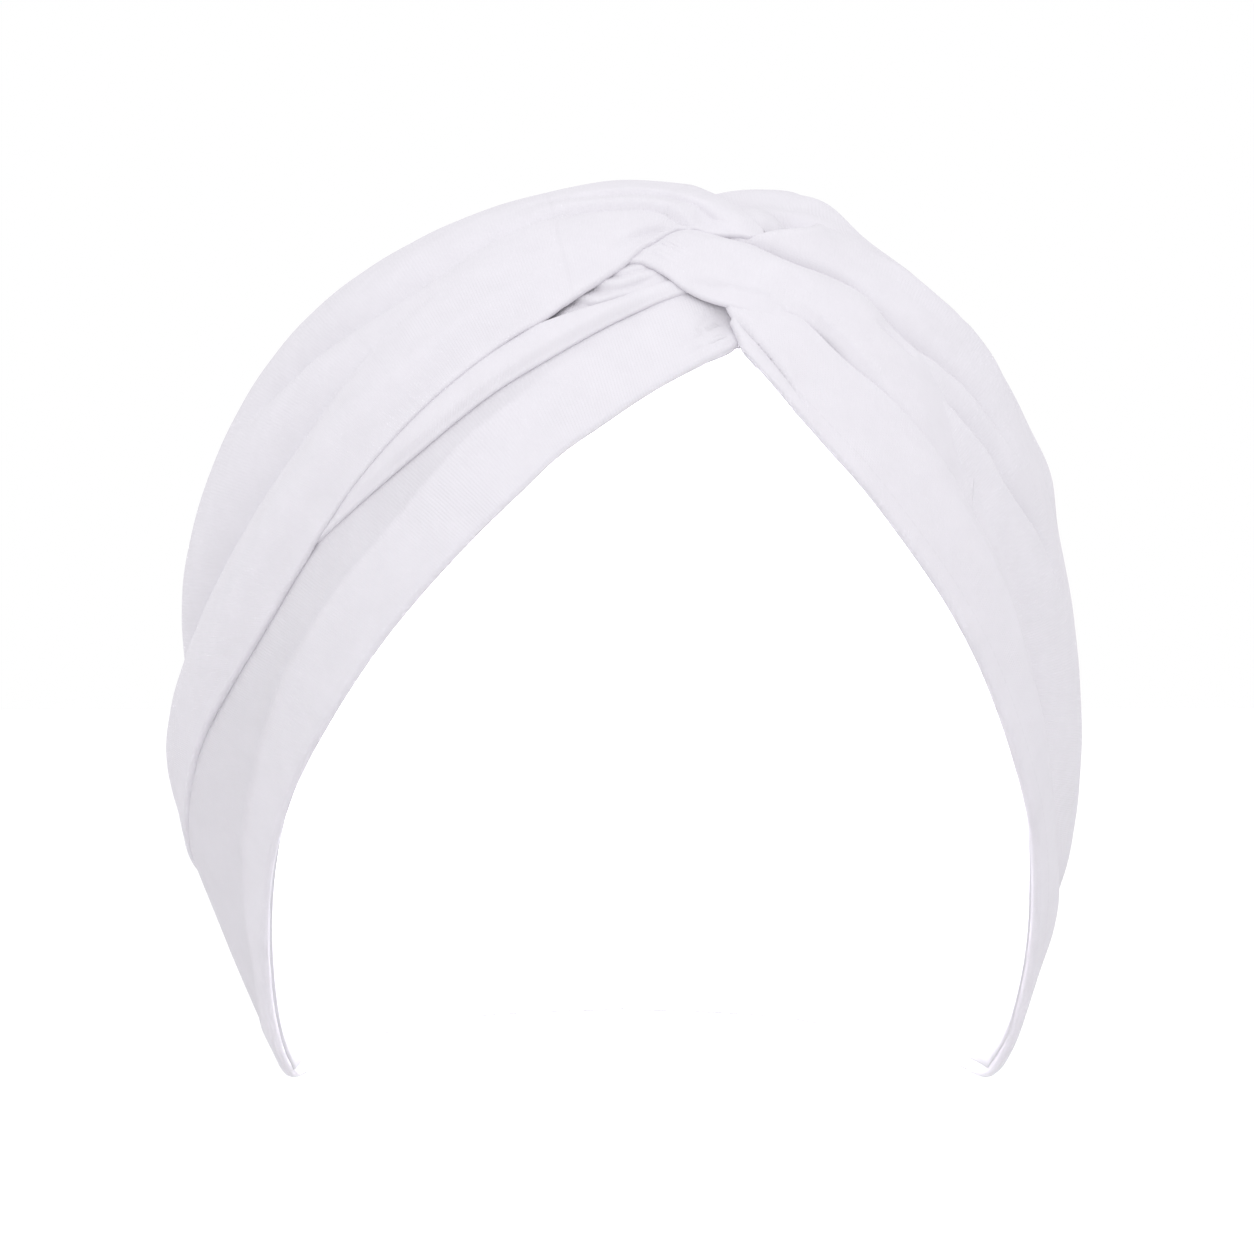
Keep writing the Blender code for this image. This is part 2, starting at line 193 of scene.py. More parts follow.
def spread(sections, along, across, crowd=1.0):
    """Directions and lifts of a fine grid over a cloth, coarser behind the head."""
    table = np.array(sections, float)
    low = unit(smooth_rows(direction(table[:, 0], table[:, 1]), FINE_STEPS))
    high = unit(smooth_rows(direction(table[:, 2], table[:, 3]), FINE_STEPS))
    lifts = smooth_rows(table[:, 4:], FINE_STEPS)
    middle = hollow_surface(unit(low + high))
    runs = np.linalg.norm(np.diff(hollow_surface(low), axis=0), axis=1)
    runs = runs + np.linalg.norm(np.diff(middle, axis=0), axis=1)
    front = np.clip((FRONT_ENDS - middle[1:, 1]) / FRONT_FADES, 0, 1)
    runs = runs * (BACK_SHARE + (1 - BACK_SHARE) * front)
    places = np.concatenate([[0], np.cumsum(runs)])
    wanted = np.linspace(0, places[-1], along)
    low, high = unit(read_at(low, places, wanted)), unit(read_at(high, places, wanted))
    lifts = read_at(lifts, places, wanted)
    share = np.linspace(0, 1, across) ** crowd
    fine = smooth_rows(evened(lifts, EVEN_LIFTS).T, FINE_STEPS)
    lifts = read_at(fine, np.linspace(0, 1, len(fine)), share).T
    angle = np.arccos(np.clip((low * high).sum(1), -1, 1))[:, None]
    from_low = np.sin((1 - share) * angle) / np.sin(angle)
    from_high = np.sin(share * angle) / np.sin(angle)
    directions = from_low[..., None] * low[:, None] + from_high[..., None] * high[:, None]
    return directions, lifts


def evened(values, spread_rows):
    """Values averaged along the first axis with a bell-shaped weight."""
    steps = np.arange(-3 * spread_rows, 3 * spread_rows + 1)
    weight = np.exp(-0.5 * (steps / spread_rows) ** 2)
    weight /= weight.sum()
    edge = [(len(steps) // 2,) * 2] + [(0, 0)] * (values.ndim - 1)
    padded = np.pad(values, edge, mode="edge")
    return sum(share * padded[start:start + len(values)] for start, share in enumerate(weight))


def beside(path, places, normals):
    """Signed distance to a path, positive on its left, and the length along it."""
    stops = np.array(path, float)
    line = smooth_rows(hollow_surface(direction(stops[:, 0], stops[:, 1])), FINE_STEPS)
    best = np.full(places.shape[:-1], np.inf)
    side = np.zeros(places.shape[:-1])
    along = np.zeros(places.shape[:-1])
    gone = 0.0
    for start, end in zip(line, line[1:]):
        run = end - start
        length = np.linalg.norm(run)
        share = np.clip((places - start) @ run / length**2, 0, 1)
        gap = places - (start + share[..., None] * run)
        reach = np.linalg.norm(gap, axis=-1)
        nearer = reach < best
        best = np.where(nearer, reach, best)
        side = np.where(nearer, np.sign((np.cross(normals, run) * gap).sum(-1)), side)
        along = np.where(nearer, gone + share * length, along)
        gone += length
    return best * side, along, gone


def ramp(along, length, fade_in, fade_out):
    """Strength along a line: it comes in and goes out over shares of the length."""
    share = along / length
    rise = np.clip(share / max(fade_in, 1e-3), 0, 1)
    fall = np.clip((1 - share) / max(fade_out, 1e-3), 0, 1)
    level = np.minimum(rise, fall)
    return level * level * (3 - 2 * level)


def fold_lift(fold, places, normals):
    """The lift that a fold gives at each place."""
    distance, along, length = beside(fold.path, places, normals)
    strength = ramp(along, length, fold.fade_in, fold.fade_out)
    left_side = 0.5 + 0.5 * np.tanh(distance / FOLD_TURN)
    away = np.abs(distance)
    right = fold.right_lift * np.exp(-((away / fold.right_reach) ** FOLD_ROUND))
    left = fold.left_lift * np.exp(-((away / fold.left_reach) ** FOLD_ROUND))
    groove = fold.groove * np.exp(-away / fold.groove_width)
    return strength * (right * (1 - left_side) + left * left_side - groove)


def gather_lift(gather, places, normals):
    """The lift of ribs beside a line: uneven waves, so that no two ribs are alike."""
    distance, along, length = beside(gather.path, places, normals)
    strength = ramp(along, length, gather.fade_in, gather.fade_out)
    reach = distance * gather.side
    fade = np.exp(-((np.abs(reach) / gather.reach) ** GATHER_ROUND))
    fade = np.where(reach >= 0, fade, 0)
    place = along + gather.slant * reach
    wobble = 0.35 * np.sin(place * 0.9) + 0.25 * np.sin(place * 2.3 + 1.0)
    wave = np.cos(2 * np.pi * (place / gather.pitch) + wobble * 2.2)
    strong = 0.65 + 0.35 * np.sin(place * 1.7 + 0.6)
    return gather.height * strength * fade * strong * wave


def swell_lift(swell, places):
    """The lift of a round rise or dent."""
    centre = hollow_surface(direction(swell.bearing, swell.rise))
    reach = np.linalg.norm(places - centre, axis=-1)
    return swell.height * np.exp(-((reach / swell.reach) ** 2))


def wander(places, height):
    """The faint unevenness of cloth laid by hand."""
    x, y, z = places[..., 0], places[..., 1], places[..., 2]
    broad = np.sin(x * 0.11 + 0.8) * np.cos(z * 0.13 + y * 0.05) + np.sin(y * 0.09 - z * 0.07)
    small = np.sin(x * 0.31 + z * 0.22) * np.sin(y * 0.27 - z * 0.19 + 1.3)
    return height * (0.6 * broad + 0.5 * small)


def lifted_sheet(directions, lifts):
    """Points at their lifts above the hollow."""
    offset = hollow_surface(directions)
    return MIDDLE + offset + hollow_normal(offset) * lifts[..., None]


def shaped(sections, along, across, folds=(), gathers=(), swells=(), wall=1.6, least=0.0,
           uneven=0.12, crowd=1.0):
    """Points of a cloth at the middle of its outer ply.

    Along and across count its rows and columns, which lie closer to the low edge where crowd
    is above 1. Wall is the thickness of all plies, least the least lift of the cloth.
    """
    directions, lifts = spread(sections, along, across, crowd)
    places = hollow_surface(directions)
    normals = hollow_normal(places)
    for fold in folds:
        lifts = lifts + fold_lift(fold, places, normals)
    for swell in swells:
        lifts = lifts + swell_lift(swell, places)
    for gather in gathers:
        lifts = lifts + gather_lift(gather, places, normals)
    lifts = np.maximum(lifts + wander(places, uneven), least)
    return lifted_sheet(directions, lifts + wall - PLY / 2)


def outward_normals(points):
    """Normals of a grid of points, turned away from the middle of the hollow."""
    run = np.gradient(points, axis=0)
    cross = np.gradient(points, axis=1)
    normals = unit(np.cross(run, cross))
    if ((points - MIDDLE) * normals).sum() < 0:
        normals = -normals
    return normals


def surface_tree(piece):
    """The finished piece as a tree that rays can be cast at, in millimetres."""
    mesh = piece.data
    places = np.empty(len(mesh.vertices) * 3, np.float32)
    mesh.vertices.foreach_get("co", places)
    places = places.reshape(-1, 3) / MM
    faces = [tuple(face.vertices) for face in mesh.polygons]
    return BVHTree.FromPolygons(places.tolist(), faces)


def outermost(directions, trees):
    """How far out the outermost of the pieces lies, seen from the middle of the hollow."""
    flat = directions.reshape(-1, 3)
    reach = np.zeros(len(flat))
    for index, way in enumerate(flat):
        way = Vector(way)
        start = Vector(MIDDLE) + way * FAR_OUT
        for tree in trees:
            distance = tree.ray_cast(start, -way, FAR_OUT)[3]
            if distance is not None:
                reach[index] = max(reach[index], FAR_OUT - distance)
    return reach.reshape(directions.shape[:-1])


def ease(share):
    share = np.clip(share, 0, 1)
    return share * share * (3 - 2 * share)


def bearings_of(points):
    return np.degrees(np.arctan2(points[:, 0], -points[:, 1]))


def rolled_low(points, radius, tuck=TUCK_COLUMNS, beneath=()):
    """The grid with its low edge rolled under and a strip of cloth tucked back beneath.

    Where there are pieces beneath, the tucked strip comes down to rest on them.
    """
    normals = outward_normals(points)
    radius = np.broadcast_to(radius, len(points))[:, None]
    edge, normal = points[:, 0], normals[:, 0]
    inward = unit(points[:, 2] - points[:, 0])
    columns = []
    for step in range(1, ROLL_STEPS + 1):
        turn = np.pi * step / ROLL_STEPS
        out, down = radius * np.sin(turn), radius * (1 - np.cos(turn))
        columns.append(edge - inward * out - normal * down)
    for column in range(1, tuck + 1):
        tucked = points[:, column] - 2 * radius * normals[:, column]
        if beneath:
            offset = tucked - MIDDLE
            reach = np.linalg.norm(offset, axis=1)
            way = offset / reach[:, None]
            rest = np.minimum(outermost(way, beneath) + PLY / 2, reach)
            share = ease(column / tuck)
            tucked = MIDDLE + way * (reach * (1 - share) + rest * share)[:, None]
        columns.append(tucked)
    rolled = np.stack(columns[::-1], 1)
    return np.concatenate([rolled, points], 1)


def rolled_high(points, radius):
    return rolled_low(points[:, ::-1], radius)[:, ::-1]


def rolled_start(points, radius):
    return rolled_low(points.transpose(1, 0, 2), radius).transpose(1, 0, 2)


def grid_tree(points):
    """A grid of points as a tree that rays can be cast at."""
    rows, columns = points.shape[:2]
    number = np.arange(rows * columns).reshape(rows, columns)
    faces = np.stack(
        [number[:-1, :-1], number[1:, :-1], number[1:, 1:], number[:-1, 1:]], -1,
    ).reshape(-1, 4)
    return BVHTree.FromPolygons(points.reshape(-1, 3).tolist(), faces.tolist())


def settled(rest, rounds):
    """A surface stretched over uneven ground, touching its highest places."""
    level = rest.copy()
    for _ in range(rounds):
        padded = np.pad(level, 1, mode="edge")
        around = padded[:-2, 1:-1] + padded[2:, 1:-1] + padded[1:-1, :-2] + padded[1:-1, 2:]
        level = np.maximum(rest, around / 4)
    return level


def laid_over(points, beneath, height, blend=0.5):
    """The grid raised where it would go into the pieces beneath, softly within the blend."""
    offset = points - MIDDLE
    reach = np.linalg.norm(offset, axis=-1)
    way = offset / reach[..., None]
    rest = settled(outermost(way, beneath), SHEET_SETTLES) + height
    level = 0.5 * (reach + rest + np.sqrt((reach - rest) ** 2 + blend**2)) - blend / 6
    level = np.where(rest - reach < -4 * blend, reach, level)
    return MIDDLE + way * level[..., None]


def pressed_low(points, beneath, height, reach, strength=1.0):
    """The grid with a strip along its low edge brought down onto the pieces beneath.

    Height is how far the middle of the ply lies above them at the edge, and reach is the
    strip's width. Height and strength may change from row to row.
    """
    width = np.linalg.norm(np.diff(points, axis=1), axis=2)
    away = np.concatenate([np.zeros((len(points), 1)), np.cumsum(width, axis=1)], 1)
    offset = points - MIDDLE
    distance = np.linalg.norm(offset, axis=-1)
    way = offset / distance[..., None]
    rest = outermost(way[:, :1], beneath)[:, 0]
    move = evened(strength * (rest + height - distance[:, 0]), EVEN_PRESS)
    level = distance + move[:, None] * (1 - ease(away / reach))
    return MIDDLE + way * level[..., None]


def pressed_high(points, beneath, height, reach, strength=1.0):
    return pressed_low(points[:, ::-1], beneath, height, reach, strength)[:, ::-1]


def apply_modifier(piece, modifier):
    bpy.ops.object.select_all(action="DESELECT")
    bpy.context.view_layer.objects.active = piece
    piece.select_set(True)
    bpy.ops.object.modifier_apply(modifier=modifier.name)
    piece.select_set(False)


def cloth_from(name, points, painted_shade=None, edge_column=0):
    """A sheet of cloth through a grid of points in millimetres, with UVs in centimetres.

    Its third argument says where shade is painted on it, and the second UV starts at the edge
    column.
    """
    along, across = points.shape[:2]
    bpy.ops.mesh.primitive_grid_add(x_subdivisions=along - 1, y_subdivisions=across - 1, size=2)
    piece = bpy.context.active_object
    piece.name = name
    mesh = piece.data
    mesh.name = name
    flat = np.empty(len(mesh.vertices) * 3, np.float32)
    mesh.vertices.foreach_get("co", flat)
    flat = flat.reshape(-1, 3)
    rows = np.rint((flat[:, 0] + 1) / 2 * (along - 1)).astype(int)
    columns = np.rint((flat[:, 1] + 1) / 2 * (across - 1)).astype(int)
    mesh.vertices.foreach_set("co", (points[rows, columns] * MM).astype(np.float32).ravel())
    length = np.linalg.norm(np.diff(points[:, across // 3], axis=0), axis=1)
    width = np.linalg.norm(np.diff(points, axis=1), axis=2)
    u = np.concatenate([[0], np.cumsum(length)]) / 10
    v = np.concatenate([np.zeros((along, 1)), np.cumsum(width, axis=1)], 1) / 10
    v = v - v[:, edge_column:edge_column + 1]
    corners = np.empty(len(mesh.loops), np.int32)
    mesh.loops.foreach_get("vertex_index", corners)
    places = np.stack([u[rows[corners]], v[rows[corners], columns[corners]]], -1)
    mesh.uv_layers[0].data.foreach_set("uv", places.astype(np.float32).ravel())
    # the attribute that says where shade is painted on the cloth
    layer = mesh.attributes.new("painted_shade", "FLOAT", "POINT")
    if painted_shade is not None:
        layer.data.foreach_set("value", painted_shade[rows, columns].astype(np.float32))
    mesh.update()
    face = mesh.polygons[len(mesh.polygons) // 2]
    if np.dot(np.array(face.normal), np.array(face.center) - MIDDLE * MM) < 0:
        mesh.flip_normals()
    wall = piece.modifiers.new("ply", "SOLIDIFY")
    wall.thickness = PLY * MM
    wall.offset = 0.0
    apply_modifier(piece, wall)
    mesh.shade_smooth()
    return piece


def wear(piece, material, nodes):
    """Puts a piece in its finish and its place in the frame."""
    piece.data.materials.clear()
    piece.data.materials.append(material)
    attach(piece, "root")
    if nodes:
        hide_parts(*nodes)
    return piece


def joined(links, nodes, operation, first, second, third=None):
    """A maths node fed by sockets or by plain values."""
    node = nodes.new("ShaderNodeMath")
    node.operation = operation
    for socket, value in zip(node.inputs, (first, second, third)):
        if value is None:
            continue
        if isinstance(value, (int, float)):
            socket.default_value = value
        else:
            links.new(value, socket)
    return node.outputs[0]


def jersey(name, colour, rib_pitch, rib_height, hem_line=0.0):
    """Matte knit: fine ribs across the cloth, knit courses, soft fuzz, faint mottling, and painted
    shade where a cloth's attribute asks for it.

    Lengths are in centimetres of cloth. A hem line is a row of stitches at that distance
    from the edge.
    """
    material = bpy.data.materials.new(name)
    material.use_nodes = True
    nodes, links = material.node_tree.nodes, material.node_tree.links
    shader = nodes["Principled BSDF"]
    shader.inputs["Roughness"].default_value = 0.95
    shader.inputs["Specular IOR Level"].default_value = 0.12
    shader.inputs["Sheen Weight"].default_value = 0.10
    shader.inputs["Sheen Roughness"].default_value = 0.6
    uv = nodes.new("ShaderNodeUVMap")
    place = nodes.new("ShaderNodeTexCoord")
    ribs = nodes.new("ShaderNodeTexWave")
    ribs.wave_type = "BANDS"
    ribs.bands_direction = "X"
    ribs.inputs["Scale"].default_value = np.pi / 10 / rib_pitch
    ribs.inputs["Distortion"].default_value = 1.6
    ribs.inputs["Detail"].default_value = 2.0
    ribs.inputs["Detail Scale"].default_value = 0.35
    links.new(uv.outputs["UV"], ribs.inputs["Vector"])
    courses = nodes.new("ShaderNodeTexWave")
    courses.wave_type = "BANDS"
    courses.bands_direction = "Y"
    courses.inputs["Scale"].default_value = np.pi / 10 / (rib_pitch * 0.8)
    courses.inputs["Distortion"].default_value = 1.0
    courses.inputs["Detail Scale"].default_value = 0.5
    links.new(uv.outputs["UV"], courses.inputs["Vector"])
    fuzz = nodes.new("ShaderNodeTexNoise")
    fuzz.inputs["Scale"].default_value = 1100.0
    fuzz.inputs["Detail"].default_value = 2.0
    links.new(place.outputs["Object"], fuzz.inputs["Vector"])
    patches = nodes.new("ShaderNodeTexNoise")
    patches.inputs["Scale"].default_value = 60.0
    patches.inputs["Detail"].default_value = 2.0
    links.new(place.outputs["Object"], patches.inputs["Vector"])
    mottle = nodes.new("ShaderNodeTexNoise")
    mottle.inputs["Scale"].default_value = 150.0
    mottle.inputs["Detail"].default_value = 3.0
    mottle.inputs["Roughness"].default_value = 0.6
    links.new(place.outputs["Object"], mottle.inputs["Vector"])
    strong = joined(links, nodes, "MULTIPLY", ribs.outputs["Fac"], patches.outputs["Fac"])
    knit = joined(links, nodes, "MULTIPLY_ADD", courses.outputs["Fac"], 0.22, strong)
    rough = joined(links, nodes, "MULTIPLY_ADD", fuzz.outputs["Fac"], 0.7, knit)
    bump = nodes.new("ShaderNodeBump")
    bump.inputs["Strength"].default_value = 0.5
    bump.inputs["Distance"].default_value = rib_height * MM
    links.new(rough, bump.inputs["Height"])
    links.new(bump.outputs["Normal"], shader.inputs["Normal"])
    tint = nodes.new("ShaderNodeMix")
    tint.data_type = "RGBA"
    tint.inputs[6].default_value = (*[c * 0.95 for c in colour], 1)
    tint.inputs[7].default_value = (*[min(c * 1.03, 1) for c in colour], 1)
    links.new(mottle.outputs["Fac"], tint.inputs[0])
    # painted shade: the colour is darkened where the cloth's shade attribute is set
    layer = nodes.new("ShaderNodeAttribute")
    layer.attribute_name = "painted_shade"
    shade = joined(links, nodes, "MULTIPLY_ADD", layer.outputs["Fac"], -PAINTED_PANEL_SHADE, 1.0)
    if hem_line:
        split = nodes.new("ShaderNodeSeparateXYZ")
        links.new(uv.outputs["UV"], split.inputs[0])
        away = joined(links, nodes, "SUBTRACT", split.outputs["Y"], hem_line)
        away = joined(links, nodes, "ABSOLUTE", away, None)
        near = joined(links, nodes, "LESS_THAN", away, 0.022)
        step = joined(links, nodes, "PINGPONG", split.outputs["X"], 0.11)
        dash = joined(links, nodes, "LESS_THAN", step, 0.075)
        stitch = joined(links, nodes, "MULTIPLY", near, dash)
        shade = joined(links, nodes, "MULTIPLY_ADD", stitch, -0.03, shade)
    dim = nodes.new("ShaderNodeVectorMath")
    dim.operation = "SCALE"
    links.new(tint.outputs[2], dim.inputs[0])
    links.new(shade, dim.inputs["Scale"])
    links.new(dim.outputs[0], shader.inputs["Base Color"])
    return material


RIM = (
    (-180.0, -37.5), (-168.0, -37.7), (-156.0, -38.4), (-141.0, -41.0), (-125.0, -44.8),
    (-108.0, -47.7), (-98.0, -44.5), (-86.0, -36.0), (-73.0, -25.5), (-60.0, -15.3),
    (-47.9, -5.2), (-36.5, 5.9), (-28.0, 13.9), (-20.0, 21.5), (-14.5, 26.6), (-9.2, 30.3),
    (-2.3, 34.1), (3.5, 37.0), (9.2, 39.7), (13.0, 34.0), (15.9, 30.2), (18.8, 26.5),
    (21.9, 23.1), (27.6, 16.3), (33.6, 9.5), (39.7, 2.4), (45.8, -5.1), (53.2, -13.2),
    (63.2, -21.7), (72.0, -30.0), (84.0, -38.0), (97.0, -45.0), (108.0, -47.7),
    (125.0, -44.8), (141.0, -41.0), (156.0, -38.4), (168.0, -37.7), (180.0, -37.5),
)

# How far up the cap's own edge is kept beneath the bands, in degrees by distance from the front
RIM_INSET = ((0, 0.6), (14, 0.6), (20, 1.1), (68, 1.1), (84, 0.7), (112, 0.5), (180, 0.4))

LEFT_BROW_BAND = (
    Section(13.0, 42.0, 12.0, 48.0, 1.7, 1.9, 2.8, 3.2),
    Section(9.2, 39.7, 6.0, 50.0, 1.7, 2.1, 3.0, 3.4),
    Section(3.5, 37.0, 0.0, 49.5, 1.7, 1.9, 2.6, 2.8),
    Section(-2.3, 34.1, -7.0, 47.0, 1.7, 1.7, 1.8, 1.8),
    Section(-9.2, 29.5, -15.0, 43.0, 1.7, 1.7, 1.7, 1.7),
    Section(-14.5, 25.7, -24.0, 38.0, 1.7, 1.7, 1.7, 1.7),
    Section(-20.0, 20.5, -33.0, 31.0, 1.7, 1.7, 1.7, 1.7),
    Section(-28.0, 12.9, -44.0, 23.0, 1.8, 1.8, 2.0, 2.2),
    Section(-36.5, 4.8, -55.0, 14.0, 1.7, 2.6, 4.3, 5.4),
    Section(-47.9, -6.2, -70.0, 2.0, 1.7, 3.9, 8.4, 9.8),
    Section(-60.0, -16.2, -85.0, -7.0, 1.7, 6.0, 12.0, 12.8),
    Section(-73.0, -26.3, -100.0, -14.0, 1.7, 7.4, 12.9, 12.2),
    Section(-86.0, -36.5, -116.0, -19.0, 1.4, 7.0, 10.2, 8.6),
    Section(-99.5, -44.8, -129.0, -21.0, 1.2, 5.0, 6.4, 5.0),
    Section(-110.0, -47.1, -139.0, -22.5, 1.1, 3.0, 3.8, 2.8),
    Section(-127.0, -44.8, -149.0, -23.5, 1.6, 2.3, 2.3, 2.1),
    Section(-141.0, -41.0, -158.0, -24.5, 2.1, 2.2, 2.2, 2.1),
    Section(-156.0, -38.4, -167.0, -25.0, 1.9, 2.0, 2.1, 2.1),
    Section(-168.0, -37.7, -173.0, -25.3, 1.9, 2.0, 2.1, 2.1),
    Section(-179.8, -37.5, -179.8, -25.5, 1.9, 2.0, 2.1, 2.1),
)

RIGHT_BROW_BAND = (
    Section(9.6, 37.4, 8.0, 45.6, 3.3, 3.6, 4.0, 4.0),
    Section(11.6, 35.0, 11.0, 46.0, 3.1, 3.6, 4.4, 4.4),
    Section(14.0, 32.3, 15.2, 44.6, 2.4, 3.4, 4.4, 4.4),
    Section(16.4, 29.4, 18.4, 40.6, 1.8, 2.8, 4.2, 4.2),
    Section(18.8, 26.5, 21.8, 36.6, 1.7, 2.4, 3.8, 4.0),
    Section(21.9, 23.1, 25.6, 33.2, 1.7, 2.2, 3.4, 3.6),
    Section(27.6, 16.3, 31.6, 27.2, 1.7, 2.0, 3.1, 3.2),
    Section(33.6, 9.5, 38.4, 20.0, 1.7, 2.0, 3.3, 3.5),
    Section(39.7, 2.4, 45.0, 11.6, 1.7, 2.1, 3.5, 3.7),
    Section(45.8, -5.1, 51.0, 2.6, 1.7, 2.1, 3.5, 3.7),
    Section(53.2, -13.2, 57.6, -5.0, 1.7, 2.3, 3.4, 3.4),
    Section(63.2, -21.7, 64.6, -13.8, 1.7, 2.6, 3.2, 3.0),
    Section(72.0, -29.4, 75.7, -22.9, 1.7, 3.0, 3.6, 3.3),
    Section(84.0, -37.2, 89.6, -28.5, 1.7, 3.2, 4.4, 4.2),
    Section(98.0, -44.3, 103.0, -31.4, 1.7, 2.6, 3.8, 3.8),
    Section(109.5, -47.2, 115.5, -32.8, 1.7, 1.9, 2.4, 2.6),
    Section(125.0, -44.8, 129.0, -33.0, 1.9, 1.9, 2.0, 2.0),
    Section(141.0, -41.0, 143.0, -32.5, 1.9, 1.9, 2.0, 2.0),
    Section(156.0, -38.4, 157.0, -32.2, 1.9, 1.9, 2.0, 2.0),
    Section(168.0, -37.7, 168.5, -32.1, 1.9, 1.9, 2.0, 2.0),
    Section(179.8, -37.5, 179.8, -32.1, 1.9, 1.9, 2.0, 2.0),
)

LEFT_PLEAT = (
    Section(6.5, 47.0, 7.5, 49.4, 3.6, 3.6, 3.6, 3.6),
    Section(3.0, 46.3, 2.6, 48.2, 3.6, 3.7, 3.7, 3.6),
    Section(-2.0, 44.8, -2.6, 46.2, 3.6, 4.1, 4.2, 4.0),
    Section(-8.5, 41.8, -8.4, 43.8, 3.6, 4.3, 4.4, 4.2),
    Section(-15.3, 37.7, -14.6, 41.7, 3.6, 4.4, 4.4, 4.2),
    Section(-22.1, 33.5, -21.0, 39.2, 3.6, 4.4, 4.4, 4.0),
    Section(-32.5, 26.0, -30.5, 33.6, 3.6, 4.3, 4.2, 3.8),
    Section(-43.9, 18.8, -41.5, 25.5, 3.6, 3.9, 3.9, 3.8),
    Section(-54.0, 12.8, -52.5, 17.5, 3.7, 3.8, 3.8, 3.8),
)

# A small gathered piece under the twist, folded into pleats
INNER_PLEATS = (
    Section(-22.5, 37.2, -21.0, 40.6, 2.0, 2.0, 2.0, 2.2),
    Section(-19.0, 39.4, -17.6, 42.8, 2.4, 2.4, 2.6, 2.8),
    Section(-16.0, 40.8, -14.8, 45.6, 3.4, 3.8, 4.0, 4.2),
    Section(-12.4, 41.8, -12.0, 48.4, 3.6, 4.2, 4.5, 4.6),
    Section(-8.0, 43.4, -8.4, 50.6, 3.8, 4.4, 4.8, 4.8),
    Section(-3.5, 45.2, -4.0, 51.6, 3.8, 4.4, 4.8, 4.8),
    Section(1.0, 47.0, 0.5, 52.4, 3.8, 4.2, 4.4, 4.4),
    Section(4.5, 48.2, 3.5, 52.6, 3.8, 4.0, 4.0, 4.0),
)

# The strand of the twist that comes out in front. Its lifts are above what it rests on.
FRONT_STRAND = (
    Section(-12.6, 50.4, -9.0, 55.0, 0.4, 0.4, 0.4, 0.4),
    Section(-8.4, 50.1, -4.0, 58.0, 0.5, 0.6, 0.6, 0.4),
    Section(-4.4, 49.9, 0.4, 58.8, 0.6, 1.1, 1.1, 0.6),
    Section(-1.2, 48.4, 3.2, 57.8, 0.7, 1.8, 1.9, 0.8),
    Section(1.2, 46.5, 6.2, 56.4, 0.7, 2.2, 2.4, 0.9),
    Section(3.9, 45.0, 8.6, 55.0, 0.7, 2.4, 2.6, 1.0),
    Section(6.9, 43.8, 11.1, 53.6, 0.6, 2.4, 2.7, 1.0),
    Section(9.4, 42.9, 15.0, 52.2, 0.3, 2.2, 2.8, 1.0),
    Section(11.9, 42.0, 16.9, 51.1, 0.0, 1.8, 2.8, 1.0),
    Section(14.3, 41.0, 21.0, 49.3, -0.1, 1.6, 2.8, 1.0),
    Section(17.0, 38.6, 25.5, 48.0, -0.1, 1.4, 2.6, 1.0),
    Section(20.0, 35.6, 29.6, 46.3, 0.3, 1.6, 2.2, 0.9),
    Section(23.4, 32.0, 32.5, 43.8, 0.6, 1.6, 1.8, 0.5),
    Section(27.6, 27.2, 35.5, 40.5, 0.6, 1.3, 1.2, 0.0),
    Section(31.6, 22.7, 38.5, 36.5, 0.5, 0.9, 0.4, -0.7),
    Section(34.7, 18.5, 41.0, 31.5, 0.2, 0.2, -0.4, -1.1),
    Section(37.8, 14.0, 43.5, 26.5, -0.5, -0.9, -1.2, -1.5),
)

LEFT_DRAPE = (
    Section(18.6, 54.8, 19.0, 55.8, 4.4, 4.4, 4.4, 4.4),
    Section(14.6, 54.6, 17.6, 58.6, 5.8, 6.0, 5.8, 5.4),
    Section(9.6, 55.4, 16.6, 62.9, 6.8, 7.0, 6.8, 6.0),
    Section(4.4, 56.4, 14.4, 68.5, 7.5, 7.6, 7.0, 6.0),
    Section(0.2, 55.3, 15.5, 73.0, 7.5, 7.8, 7.0, 5.6),
    Section(-3.6, 52.7, 20.0, 78.0, 7.4, 7.8, 6.6, 4.6),
    Section(-8.5, 48.5, -130.0, 85.0, 7.2, 7.4, 5.8, 2.4),
    Section(-16.0, 42.7, -126.0, 73.0, 6.8, 7.4, 4.0, 2.0),
    Section(-26.0, 35.6, -122.0, 58.0, 6.2, 7.6, 4.6, 2.0),
    Section(-35.0, 28.0, -122.0, 41.0, 6.2, 9.2, 7.8, 2.0),
    Section(-44.0, 19.7, -122.0, 24.0, 6.8, 11.4, 10.8, 2.0),
    Section(-57.0, 5.5, -124.0, 3.5, 9.4, 14.2, 12.2, 2.0),
    Section(-75.0, -8.5, -132.0, -12.0, 13.0, 15.6, 11.0, 2.0),
    Section(-93.0, -20.5, -144.0, -18.5, 12.4, 11.0, 6.6, 2.0),
    Section(-112.0, -26.5, -156.0, -20.5, 8.6, 7.2, 4.4, 3.2),
    Section(-132.0, -29.5, -166.0, -21.5, 4.6, 4.0, 3.2, 3.0),
    Section(-150.0, -31.0, -173.0, -22.2, 3.2, 3.2, 2.9, 2.8),
    Section(-165.0, -31.6, -177.0, -22.4, 2.8, 2.8, 2.7, 2.6),
    Section(-179.8, -31.8, -179.8, -22.5, 2.6, 2.6, 2.6, 2.5),
)

